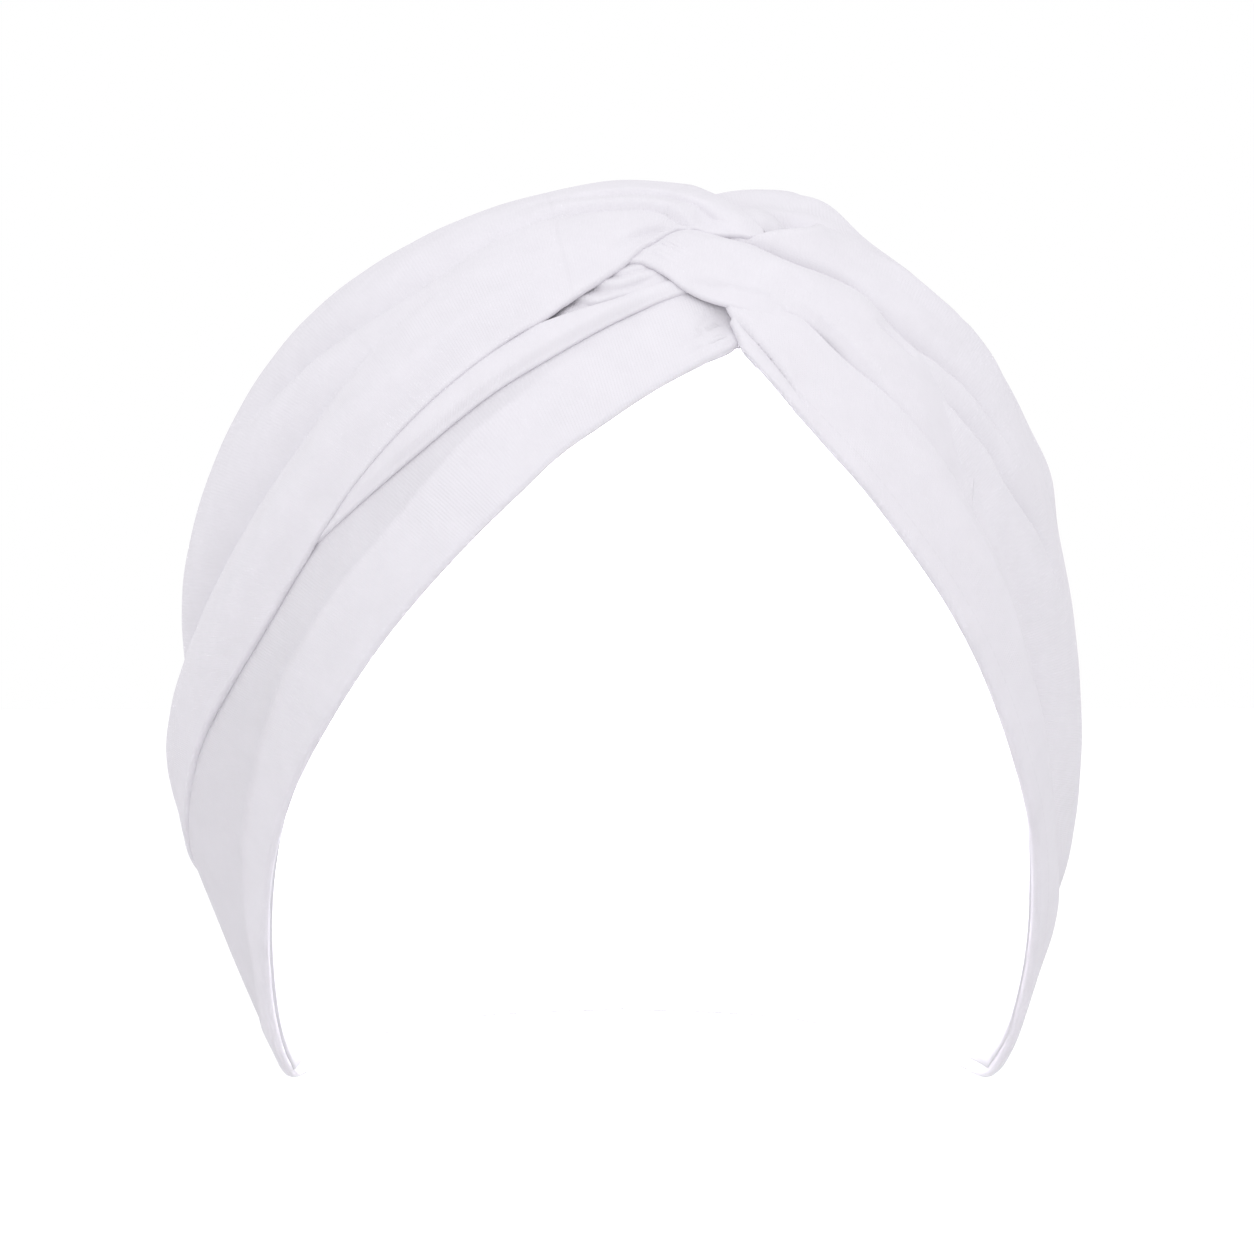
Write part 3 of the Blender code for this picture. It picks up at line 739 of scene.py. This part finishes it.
RIGHT_DRAPE = (
    Section(-7.0, 51.0, 0.0, 58.5, 2.6, 2.6, 2.4, 2.2),
    Section(-3.0, 49.8, 4.0, 61.0, 2.8, 2.8, 2.4, 2.0),
    Section(1.0, 48.6, 7.5, 64.5, 3.0, 3.2, 2.6, 1.9),
    Section(5.5, 47.6, 12.0, 69.5, 3.2, 4.2, 2.8, 1.9),
    Section(10.0, 46.3, 22.0, 76.0, 3.4, 5.8, 2.8, 1.9),
    Section(14.5, 44.6, 60.0, 80.0, 3.4, 6.2, 3.0, 1.9),
    Section(19.5, 42.0, 92.0, 74.0, 3.2, 5.4, 3.2, 1.9),
    Section(24.5, 37.4, 108.0, 64.0, 2.4, 4.8, 2.8, 1.9),
    Section(29.5, 29.4, 115.0, 54.0, 1.0, 4.8, 2.8, 1.9),
    Section(35.6, 20.6, 119.0, 41.0, 0.9, 4.2, 3.2, 1.9),
    Section(42.4, 10.4, 121.5, 24.0, 0.9, 4.4, 4.0, 1.9),
    Section(48.8, 0.8, 124.0, 6.0, 0.9, 5.4, 6.0, 1.9),
    Section(55.2, -6.6, 129.0, -6.0, 0.9, 6.4, 6.4, 1.9),
    Section(63.0, -15.6, 136.0, -12.5, 1.0, 6.4, 5.4, 1.9),
    Section(74.5, -24.6, 144.0, -17.0, 1.9, 5.8, 4.2, 1.9),
    Section(89.0, -30.0, 153.0, -19.5, 3.0, 4.6, 3.2, 1.9),
    Section(106.0, -32.3, 161.0, -21.0, 2.6, 3.0, 2.2, 1.9),
    Section(122.0, -32.8, 168.0, -21.8, 1.9, 2.1, 2.0, 1.9),
    Section(140.0, -32.1, 173.0, -22.2, 1.9, 2.1, 2.0, 1.9),
    Section(160.0, -31.7, 177.0, -22.4, 1.9, 2.1, 2.0, 1.9),
    Section(179.8, -31.7, 179.8, -22.5, 1.9, 2.1, 2.0, 1.9),
)

LEFT_FOLDS = (
    # the deep valley that ends at the outline, and the one above it
    Fold(
        ((-28, 50), (-38, 44), (-49, 36), (-58, 28), (-68, 20), (-80, 12), (-96, 2), (-112, -10)),
        -4.6, 5.5, -4.6, 7.0, 0.8, 1.0, 0.35, 0.3,
    ),
    Fold(
        ((-24, 58), (-37, 51), (-50, 45), (-62, 41), (-76, 35), (-92, 26)),
        -3.4, 4.5, -3.4, 6.0, 0.6, 1.0, 0.3, 0.4,
    ),
    # the full ridge beside the free edge
    Fold(
        ((-6, 52.5), (-12, 49.5), (-19.5, 44.5), (-28, 39), (-37, 32.5), (-46, 25), (-55, 15.5),
         (-65, 5), (-77, -4), (-91, -14)),
        1.7, 5.5, 1.7, 7.0, 0.0, 1.0, 0.2, 0.3,
    ),
    # lines that run back from the tip
    Fold(
        ((8.8, 53.1), (6.9, 54.6), (4.5, 56.5), (0.8, 57.8), (-5.5, 59.6), (-13.8, 59.3),
         (-21.3, 57.9), (-31, 54.5), (-42, 49.5)),
        0.9, 4.5, -0.8, 4.0, 0.9, 0.7, 0.05, 0.55,
    ),
    Fold(
        ((14, 54), (10.9, 57.5), (5.8, 60.9), (-5.8, 64), (-15.5, 63.6), (-24.3, 62.2), (-36, 59)),
        0.5, 4.0, -0.6, 4.0, 0.6, 0.7, 0.1, 0.5,
    ),
    Fold(
        ((4.4, 56.1), (1.4, 55.7), (-3.4, 54.5), (-6.9, 52.8), (-11, 49.5)),
        0.3, 3.0, -0.8, 4.0, 0.5, 0.9, 0.2, 0.6,
    ),
)

RIGHT_FOLDS = (
    # the lip in front of the pocket
    Fold(
        ((12, 53.4), (15, 54.0), (18.2, 54.4), (23, 55.0), (26.9, 55.8), (30.5, 57.2),
         (36.1, 60), (40, 62)),
        1.6, 4.0, -5.0, 5.0, 0.0, 1.0, 0.4, 0.4,
    ),
    # where it goes under the front strand
    Fold(
        ((6.2, 57.0), (8.6, 55.8), (11.1, 54.5), (15, 53.0), (16.9, 52.0), (21, 50.2),
         (25.5, 48.9), (29.6, 47.2), (32.5, 44.6)),
        -2.6, 3.0, -2.2, 1.3, 1.2, 0.6, 0.15, 0.2,
    ),
    Fold(
        ((24, 49), (29.6, 46.1), (32.5, 43.8), (37, 40), (43, 34)),
        0.2, 4.0, -1.6, 3.0, 0.8, 0.8, 0.25, 0.5,
    ),
    Fold(
        ((29.5, 43.0), (32.7, 40.6), (34, 39.6), (37.6, 38.6), (41.8, 36.8), (46.1, 34.2),
         (51, 30.5), (58, 25)),
        0.6, 3.0, -3.4, 4.0, 1.8, 0.6, 0.08, 0.6,
    ),
    Fold(
        ((36.5, 34.6), (39.4, 32.4), (42.1, 30.2), (46.0, 27.2), (48.6, 24.0),
         (52.6, 21.0), (57.2, 18.4), (63, 14), (72, 7)),
        0.7, 3.0, -3.0, 4.0, 1.4, 0.6, 0.2, 0.45,
    ),
    Fold(
        ((44.1, 55.3), (44.1, 52.9), (45.4, 49.5), (49.5, 45.9), (53.5, 43), (56.4, 40.1),
         (60, 36.5), (66, 32)),
        2.2, 4.5, -3.2, 6.0, 0.3, 1.0, 0.2, 0.4,
    ),
    # the valley beside the band
    Fold(
        ((31, 29), (37, 21), (43, 12.5), (49.5, 3.5), (56, -4.5), (64, -14)),
        0.0, 3.0, -3.0, 7.0, 0.6, 0.9, 0.25, 0.3,
    ),
    Fold(
        ((72, 34), (80, 24), (87, 13), (94, 2), (103, -10)),
        -1.8, 5.0, -1.8, 5.0, 0.3, 1.0, 0.3, 0.3,
    ),
)

RIGHT_SWELLS = (
    Swell(34.5, 62.0, 4.0, -5.6),
    Swell(60.0, 68.0, 6.0, 2.3),
    Swell(87.0, 28.0, 8.0, 1.3),
    Swell(62.0, 74.0, 9.0, 2.2),
    Swell(46.0, 76.0, 8.0, 1.2),
    Swell(22.0, 72.0, 7.0, -1.2),
    Swell(80.0, 72.5, 7.0, 3.0),
    Swell(68.0, 57.0, 8.0, -3.6),
    Swell(57.0, 64.0, 8.0, 1.2),
)

INNER_FOLDS = (
    Fold(
        ((-17, 46.2), (-14.6, 46.4), (-12.6, 46.3), (-9.5, 45.9), (-7.2, 46.3), (-5, 47.2),
         (-0.9, 48.7)),
        -0.6, 1.9, 0.8, 2.2, 0.35, 0.5, 0.12, 0.3,
    ),
    Fold(
        ((-18, 43.6), (-16.4, 44.2), (-14.7, 44.2), (-12.1, 43.7), (-10.4, 43.8), (-7.9, 44.8),
         (-5, 46)),
        -0.5, 1.6, 0.7, 1.6, 0.35, 0.5, 0.12, 0.35,
    ),
    Fold(
        ((-13.5, 48.4), (-10.5, 48.0), (-8.0, 48.0), (-5.0, 48.8), (-2.0, 50)),
        -0.35, 1.4, 0.45, 1.6, 0.25, 0.5, 0.2, 0.3,
    ),
)

# fine gathers inside the pocket
RIGHT_GATHERS = (
    Gather(
        ((15, 54.0), (18.2, 54.4), (23, 55.0), (26.9, 55.8), (30.5, 57.2), (36.1, 60)),
        8.0, 1.5, 0.2, -0.9, 0.3, 0.2, 1,
    ),
)

STRAND_FOLDS = (
    Fold(
        ((29.0, 41.2), (31.3, 39.4), (33.4, 37.9), (35.6, 37.0)),
        0.2, 2.0, -0.9, 3.0, 0.8, 0.6, 0.3, 0.3,
    ),
    Fold(
        ((13.3, 43.5), (15.8, 42.2), (18.6, 40.6), (21.5, 38.4), (25, 35)),
        -0.5, 2.5, 0.3, 2.5, 0.35, 0.6, 0.3, 0.5,
    ),
    Fold(
        ((0, 47), (5, 46), (11, 44.6), (17, 42.6)),
        -0.3, 3.0, 0.3, 3.0, 0.1, 0.8, 0.4, 0.4,
    ),
)

STRAND_GATHERS = (
    Gather(((-5, 49), (-2.1, 52), (-0.2, 53.5), (3, 54.6)), 5.0, 1.6, 0.2, 0.25, 0.12, 0.3, -1),
)

BAND_GATHERS = (
    Gather(((8.2, 37.6), (7.6, 40), (6, 42.6), (2, 44.4)), 7.0, 1.15, 0.28, 0.3, 0.1, 0.3, 1),
)

BAND_SWELLS = (
    Swell(7.2, 42.4, 3.4, -1.2),
)

LEFT_HEM = (
    (-4.8, 40.8), (-12.8, 37.6), (-19.9, 32.1), (-25.6, 27.6), (-29.2, 24.0), (-35.4, 17.4),
    (-41.6, 12.0), (-48.9, 4.8), (-53.6, 0.4), (-59.6, -6.3), (-65.6, -12.5), (-71.4, -18.2),
    (-78.1, -24.6), (-85.7, -31.9), (-89.6, -36.2), (-94.0, -39.6), (-100.0, -41.8),
    (-110.0, -43.0), (-130.0, -39.0), (-155.0, -34.5), (-180.0, -33.0),
)

BAND_FOLDS = (
    Fold(LEFT_HEM, 0.0, 3.0, 0.5, 7.0, 0.15, 0.5, 0.15, 0.02),
)

START_FOLDS = (
    Fold(
        ((8.0, 42.6), (9.6, 40.6), (11.2, 38.4), (12.8, 36.2), (14.3, 34.0), (15.8, 31.4),
         (17.2, 28.8)),
        -0.3, 2.5, 0.4, 3.0, 0.9, 0.45, 0.2, 0.55,
    ),
)


# The cap: its rows and columns, its lift and wall, and its size in centimetres for the knit
CAP_ROUND = 220
CAP_RINGS = 74
CAP_LIFT = 0.65
CAP_WALL = 1.1
CAP_LENGTHS = (56, 40)

# Its seam is a groove between two low welts, from the crown to the nape
SEAM_FROM = -5
SEAM_FADES = 30
GROOVE_DEPTH = 0.45
GROOVE_WIDTH = 0.9
WELT_HEIGHT = 0.25
WELT_PLACE = 2.2
WELT_WIDTH = 1.2

# On the right its edge is raised by this, over this share of its height
EDGE_RAISE = 0.42
EDGE_SHARE = 0.09


def make_crown(material):
    """The fitted cap: a half ball drawn down to the rim, with a seam from crown to nape."""
    bpy.ops.mesh.primitive_uv_sphere_add(
        segments=CAP_ROUND, ring_count=2 * CAP_RINGS, radius=1,
    )
    piece = bpy.context.active_object
    piece.name = piece.data.name = "crown_cloth"
    bpy.ops.object.mode_set(mode="EDIT")
    bpy.ops.mesh.select_all(action="DESELECT")
    bpy.ops.object.mode_set(mode="OBJECT")
    for vertex in piece.data.vertices:
        vertex.select = vertex.co.z < -0.01
    bpy.ops.object.mode_set(mode="EDIT")
    bpy.ops.mesh.delete(type="VERT")
    bpy.ops.object.mode_set(mode="OBJECT")
    mesh = piece.data
    ball = np.empty(len(mesh.vertices) * 3, np.float32)
    mesh.vertices.foreach_get("co", ball)
    ball = ball.reshape(-1, 3).astype(float)
    table = np.array(RIM)
    bearing = np.degrees(np.arctan2(ball[:, 0], -ball[:, 1]))
    share = np.degrees(np.arcsin(np.clip(ball[:, 2], 0, 1))) / 90
    rim_rise = np.interp(bearing, table[:, 0], table[:, 1])
    rim_rise += np.interp(np.abs(bearing), *np.transpose(RIM_INSET))
    directions = direction(bearing, rim_rise + (90 - rim_rise) * share)
    offset = hollow_surface(directions)
    from_seam = np.abs(offset[:, 0])
    fade = np.clip((offset[:, 1] - SEAM_FROM) / SEAM_FADES, 0, 1)
    lifts = CAP_LIFT - GROOVE_DEPTH * fade * np.exp(-((from_seam / GROOVE_WIDTH) ** 2))
    lifts += WELT_HEIGHT * fade * np.exp(-(((from_seam - WELT_PLACE) / WELT_WIDTH) ** 2))
    # its edge lies up against the right band
    near_edge = np.exp(-((share / EDGE_SHARE) ** 2))
    lifts += EDGE_RAISE * near_edge * ease((bearing - 20) / 30)
    points = MIDDLE + offset + hollow_normal(offset) * lifts[:, None]
    mesh.vertices.foreach_set("co", (points * MM).astype(np.float32).ravel())
    for corner in mesh.uv_layers[0].data:
        corner.uv = (corner.uv[0] * CAP_LENGTHS[0], corner.uv[1] * CAP_LENGTHS[1])
    mesh.update()
    wall = piece.modifiers.new("ply", "SOLIDIFY")
    wall.thickness = CAP_WALL * MM
    wall.offset = 0.0
    apply_modifier(piece, wall)
    mesh.shade_smooth()
    wear(piece, material, ["crown_cap"])
    return piece


def painted_shade_beyond_hem(points, path):
    """1 beyond a band's hem line, where shade is painted for the panel in the left drape's shadow,
    and 0 on the hem.
    """
    places = hollow_surface(unit(points - MIDDLE))
    distance, along, length = beside(path, places, hollow_normal(places))
    beyond = 0.5 - 0.5 * np.tanh(distance / HEM_TURN)
    return beyond * ease(along / length * HEM_COMES_IN)


def make_left_band(material):
    points = shaped(
        LEFT_BROW_BAND, 370, 62, folds=BAND_FOLDS, gathers=BAND_GATHERS, swells=BAND_SWELLS,
        wall=1.4, uneven=0.05, least=0.2,
    )
    points = rolled_low(points, 0.7)
    # shade is painted on the panel beyond the hem line, standing in for the left drape's shadow
    piece = cloth_from(
        "left_band_cloth", points, painted_shade_beyond_hem(points, LEFT_HEM), ROLL_STEPS + TUCK_COLUMNS,
    )
    return wear(piece, material, ["left_brow_band"])


def right_band_points():
    return shaped(
        RIGHT_BROW_BAND, 370, 60, folds=START_FOLDS, wall=1.4, uneven=0.05, least=0.2,
    )


def make_right_band(material, points, beneath):
    bearing = bearings_of(points[:, -1])
    strength = np.interp(bearing, (20, 26, 60, 75), (0, 1, 1, 0))
    points = pressed_high(points, beneath, 0.75, 4.0, strength)
    points = rolled_start(points, 0.6)
    low_radius = np.interp(np.arange(len(points)), (0, 12, 34), (0.12, 0.25, 0.7))
    points = rolled_high(rolled_low(points, low_radius), 0.4)
    piece = cloth_from("right_band_cloth", points, edge_column=ROLL_STEPS + TUCK_COLUMNS)
    return wear(piece, material, ["right_brow_band"])


def make_left_pleat(material, beneath):
    points = shaped(LEFT_PLEAT, 240, 40, wall=1.4, uneven=0.05)
    bearing = bearings_of(points[:, 0])
    height = np.interp(bearing, (-50, -38, -5, 2), (0.4, 0.7, 0.7, 0.4))
    points = pressed_low(points, beneath, height, 2.6)
    points = rolled_high(rolled_low(points, 0.3, 4), 0.4)
    piece = cloth_from("left_pleat_cloth", points)
    return wear(piece, material, ["left_pleat"])


def make_inner_pleats(material):
    directions, lifts = spread(INNER_PLEATS, 150, 90)
    places = hollow_surface(directions)
    normals = hollow_normal(places)
    for fold in INNER_FOLDS:
        lifts = lifts + fold_lift(fold, places, normals)
    lifts = lifts + wander(places, 0.08)
    piece = cloth_from("inner_pleats", lifted_sheet(directions, lifts + PLY / 2))
    return wear(piece, material, [])


def make_right_drape(material):
    points = shaped(
        RIGHT_DRAPE, 320, 146, folds=RIGHT_FOLDS, gathers=RIGHT_GATHERS, swells=RIGHT_SWELLS,
        crowd=1.2, least=0.8,
    )
    piece = cloth_from("right_drape_cloth", points)
    return wear(piece, material, ["right_drape"])


def make_front_strand(material, beneath, band_tree):
    directions, rise = spread(FRONT_STRAND, 290, 82)
    places = hollow_surface(directions)
    normals = hollow_normal(places)
    ground = outermost(directions, beneath)
    with_band = np.maximum(ground, outermost(directions, [band_tree]))
    bearing = np.degrees(np.arctan2(directions[..., 0], -directions[..., 1]))
    # it lies over the start of the right band, and beside it further on
    over_band = 1 - ease((bearing - 15) / 5)
    level = settled(ground + (with_band - ground) * over_band, STRAND_SETTLES)
    for fold in STRAND_FOLDS:
        rise = rise + fold_lift(fold, places, normals)
    for gather in STRAND_GATHERS:
        rise = rise + gather_lift(gather, places, normals)
    rise = rise + wander(places, 0.08)
    points = MIDDLE + directions * level[..., None] + normals * rise[..., None]
    high_bearing = bearings_of(points[:, -1])
    high_height = np.interp(high_bearing, (28, 34, 40), (0.5, 0.1, -0.8))
    points = pressed_high(points, beneath, high_height, 1.6)
    low_radius = np.interp(bearings_of(points[:, 0]), (7, 14), (0.32, 0.12))
    high_radius = np.interp(high_bearing, (24, 32), (0.45, 0.12))
    points = rolled_high(rolled_low(points, low_radius), high_radius)
    piece = cloth_from("front_strand", points)
    return wear(piece, material, [])


def make_left_drape(material, beneath):
    points = shaped(LEFT_DRAPE, 315, 126, folds=LEFT_FOLDS, crowd=1.15, least=1.8)
    bearing = bearings_of(points[:, 0])
    stops = (-84, -66, -50, -44, -24, -19, -14, -8, -2, 4, 20)
    height = np.interp(bearing, stops, (0.9, 0.8, 0.7, 0.2, 0.2, 0.8, 1.0, 0.8, 0.5, 0.35, 0.2))
    strength = np.interp(bearing, stops, (0, 0.8, 0.9, 1, 1, 0.7, 0.6, 1, 1, 1, 1))
    points = pressed_low(points, beneath, height, 9.0, strength)
    points = laid_over(points, beneath, 0.1)
    radius = np.interp(
        bearing, stops, (0.6, 0.6, 0.5, 0.15, 0.15, 0.4, 0.5, 0.45, 0.35, 0.3, 0.25)
    )
    points = rolled_high(rolled_low(points, radius, 5, beneath), 0.5)
    piece = cloth_from("left_drape_cloth", points)
    return wear(piece, material, ["left_drape"])


# The frame is this wide at the head, seen from this far and this much from one side
FRAME_WIDTH = 0.2459
CAMERA_DISTANCE = 1.6
CAMERA_TURN = np.radians(-3.5)
AIM_ASIDE = -0.0041
AIM_HEIGHT = -0.08004
SENSOR = 36.0

FLOOR_HEIGHT = -0.30
# Shadow is painted on the floor near the turban: a darker pool that stands in for its soft shadow
FLOOR_NEAR = 0.25
FLOOR_FAR = 1.0
FLOOR_PAINTED_SHADOW_TONE = 0.80
FLOOR_FAR_TONE = 0.97

# The studio is brightest on the side that this direction names
LIGHT_FROM = (-0.14, -0.83, 0.54)
DIM_SIDE = 0.47
BRIGHT_SIDE = 1.47


def add_camera():
    """The camera, level with the middle of the turban and a little to its right."""
    camera = bpy.data.objects.new("camera", bpy.data.cameras.new("camera"))
    bpy.context.scene.collection.objects.link(camera)
    camera.data.sensor_width = SENSOR
    camera.data.lens = SENSOR * CAMERA_DISTANCE / FRAME_WIDTH
    camera.data.clip_end = 60
    aside = Vector((np.cos(CAMERA_TURN), np.sin(CAMERA_TURN), 0))
    back = Vector((np.sin(CAMERA_TURN), -np.cos(CAMERA_TURN), 0))
    camera.location = aside * AIM_ASIDE + Vector((0, 0, AIM_HEIGHT)) + back * CAMERA_DISTANCE
    camera.rotation_euler = (np.pi / 2, 0, CAMERA_TURN)
    bpy.context.scene.camera = camera


def add_floor():
    """A pale floor well below the turban, with a shadow pool painted around the place beneath it.
    """
    bpy.ops.mesh.primitive_plane_add(size=40, location=(0, 0, FLOOR_HEIGHT))
    floor = bpy.context.active_object
    floor.name = "floor"
    material = bpy.data.materials.new("floor")
    material.use_nodes = True
    shader = material.node_tree.nodes["Principled BSDF"]
    place = material.node_tree.nodes.new("ShaderNodeTexCoord")
    away = material.node_tree.nodes.new("ShaderNodeVectorMath")
    away.operation = "LENGTH"
    # painted shadow: the floor is darker near the turban, out to its own pale tone further off
    level = material.node_tree.nodes.new("ShaderNodeMapRange")
    level.inputs["From Min"].default_value = FLOOR_NEAR
    level.inputs["From Max"].default_value = FLOOR_FAR
    level.inputs["To Min"].default_value = FLOOR_PAINTED_SHADOW_TONE
    level.inputs["To Max"].default_value = FLOOR_FAR_TONE
    links = material.node_tree.links
    links.new(place.outputs["Object"], away.inputs[0])
    links.new(away.outputs["Value"], level.inputs["Value"])
    links.new(level.outputs["Result"], shader.inputs["Base Color"])
    shader.inputs["Roughness"].default_value = 1.0
    shader.inputs["Specular IOR Level"].default_value = 0.0
    floor.data.materials.append(material)


def add_area(name, place, aim, size, power):
    lamp = bpy.data.lights.new(name, "AREA")
    lamp.shape = "DISK"
    lamp.size = size
    lamp.energy = power
    light = bpy.data.objects.new(name, lamp)
    bpy.context.scene.collection.objects.link(light)
    light.location = place
    light.rotation_euler = (Vector(aim) - Vector(place)).to_track_quat("-Z", "Y").to_euler()
    light.visible_camera = False
    return light


def add_lights():
    """A soft studio all round, a weak key from above, and a small lamp inside the hollow."""
    world = bpy.data.worlds.new("studio")
    bpy.context.scene.world = world
    world.use_nodes = True
    nodes, links = world.node_tree.nodes, world.node_tree.links
    soft = nodes["Background"]
    soft.inputs["Color"].default_value = (0.985, 0.985, 1.0, 1)
    way = nodes.new("ShaderNodeTexCoord")
    toward = nodes.new("ShaderNodeVectorMath")
    toward.operation = "DOT_PRODUCT"
    toward.inputs[1].default_value = LIGHT_FROM
    links.new(way.outputs["Generated"], toward.inputs[0])
    level = nodes.new("ShaderNodeMapRange")
    level.inputs["From Min"].default_value = -1.0
    level.inputs["From Max"].default_value = 1.0
    level.inputs["To Min"].default_value = DIM_SIDE
    level.inputs["To Max"].default_value = BRIGHT_SIDE
    links.new(toward.outputs["Value"], level.inputs["Value"])
    links.new(level.outputs["Result"], soft.inputs["Strength"])
    seen = nodes.new("ShaderNodeBackground")
    seen.inputs["Color"].default_value = (1, 1, 1, 1)
    seen.inputs["Strength"].default_value = 1.0
    ray = nodes.new("ShaderNodeLightPath")
    mix = nodes.new("ShaderNodeMixShader")
    links.new(ray.outputs["Is Camera Ray"], mix.inputs["Fac"])
    links.new(soft.outputs["Background"], mix.inputs[1])
    links.new(seen.outputs["Background"], mix.inputs[2])
    links.new(mix.outputs["Shader"], nodes["World Output"].inputs["Surface"])
    add_area("key", (0.7, -1.3, 1.6), (0, 0, -0.05), 0.9, 1.5)
    add_area("hollow_fill", (0.0, 0.016, -0.117), (0.0, 0.10, -0.098), 0.07, 0.5)
    bpy.context.scene.view_settings.view_transform = "Standard"


add_camera()
drape_knit = jersey("drape_knit", (0.700, 0.681, 0.718), 0.062, 0.10)
band_knit = jersey("band_knit", (0.700, 0.681, 0.718), 0.062, 0.12)
hem_knit = jersey("hem_knit", (0.700, 0.681, 0.718), 0.062, 0.12, 0.30)
cap_knit = jersey("cap_knit", (0.690, 0.678, 0.710), 0.08, 0.08)

crown = make_crown(cap_knit)
left_band = make_left_band(band_knit)
under = [surface_tree(crown), surface_tree(left_band)]
left_pleat = make_left_pleat(drape_knit, under)
inner_pleats = make_inner_pleats(drape_knit)
right_drape = make_right_drape(drape_knit)
under += [surface_tree(left_pleat), surface_tree(inner_pleats), surface_tree(right_drape)]
band_points = right_band_points()
strand = make_front_strand(drape_knit, under, grid_tree(band_points))
under.append(surface_tree(strand))
right_band = make_right_band(hem_knit, band_points, under)
left_drape = make_left_drape(drape_knit, under)

add_floor()
add_lights()
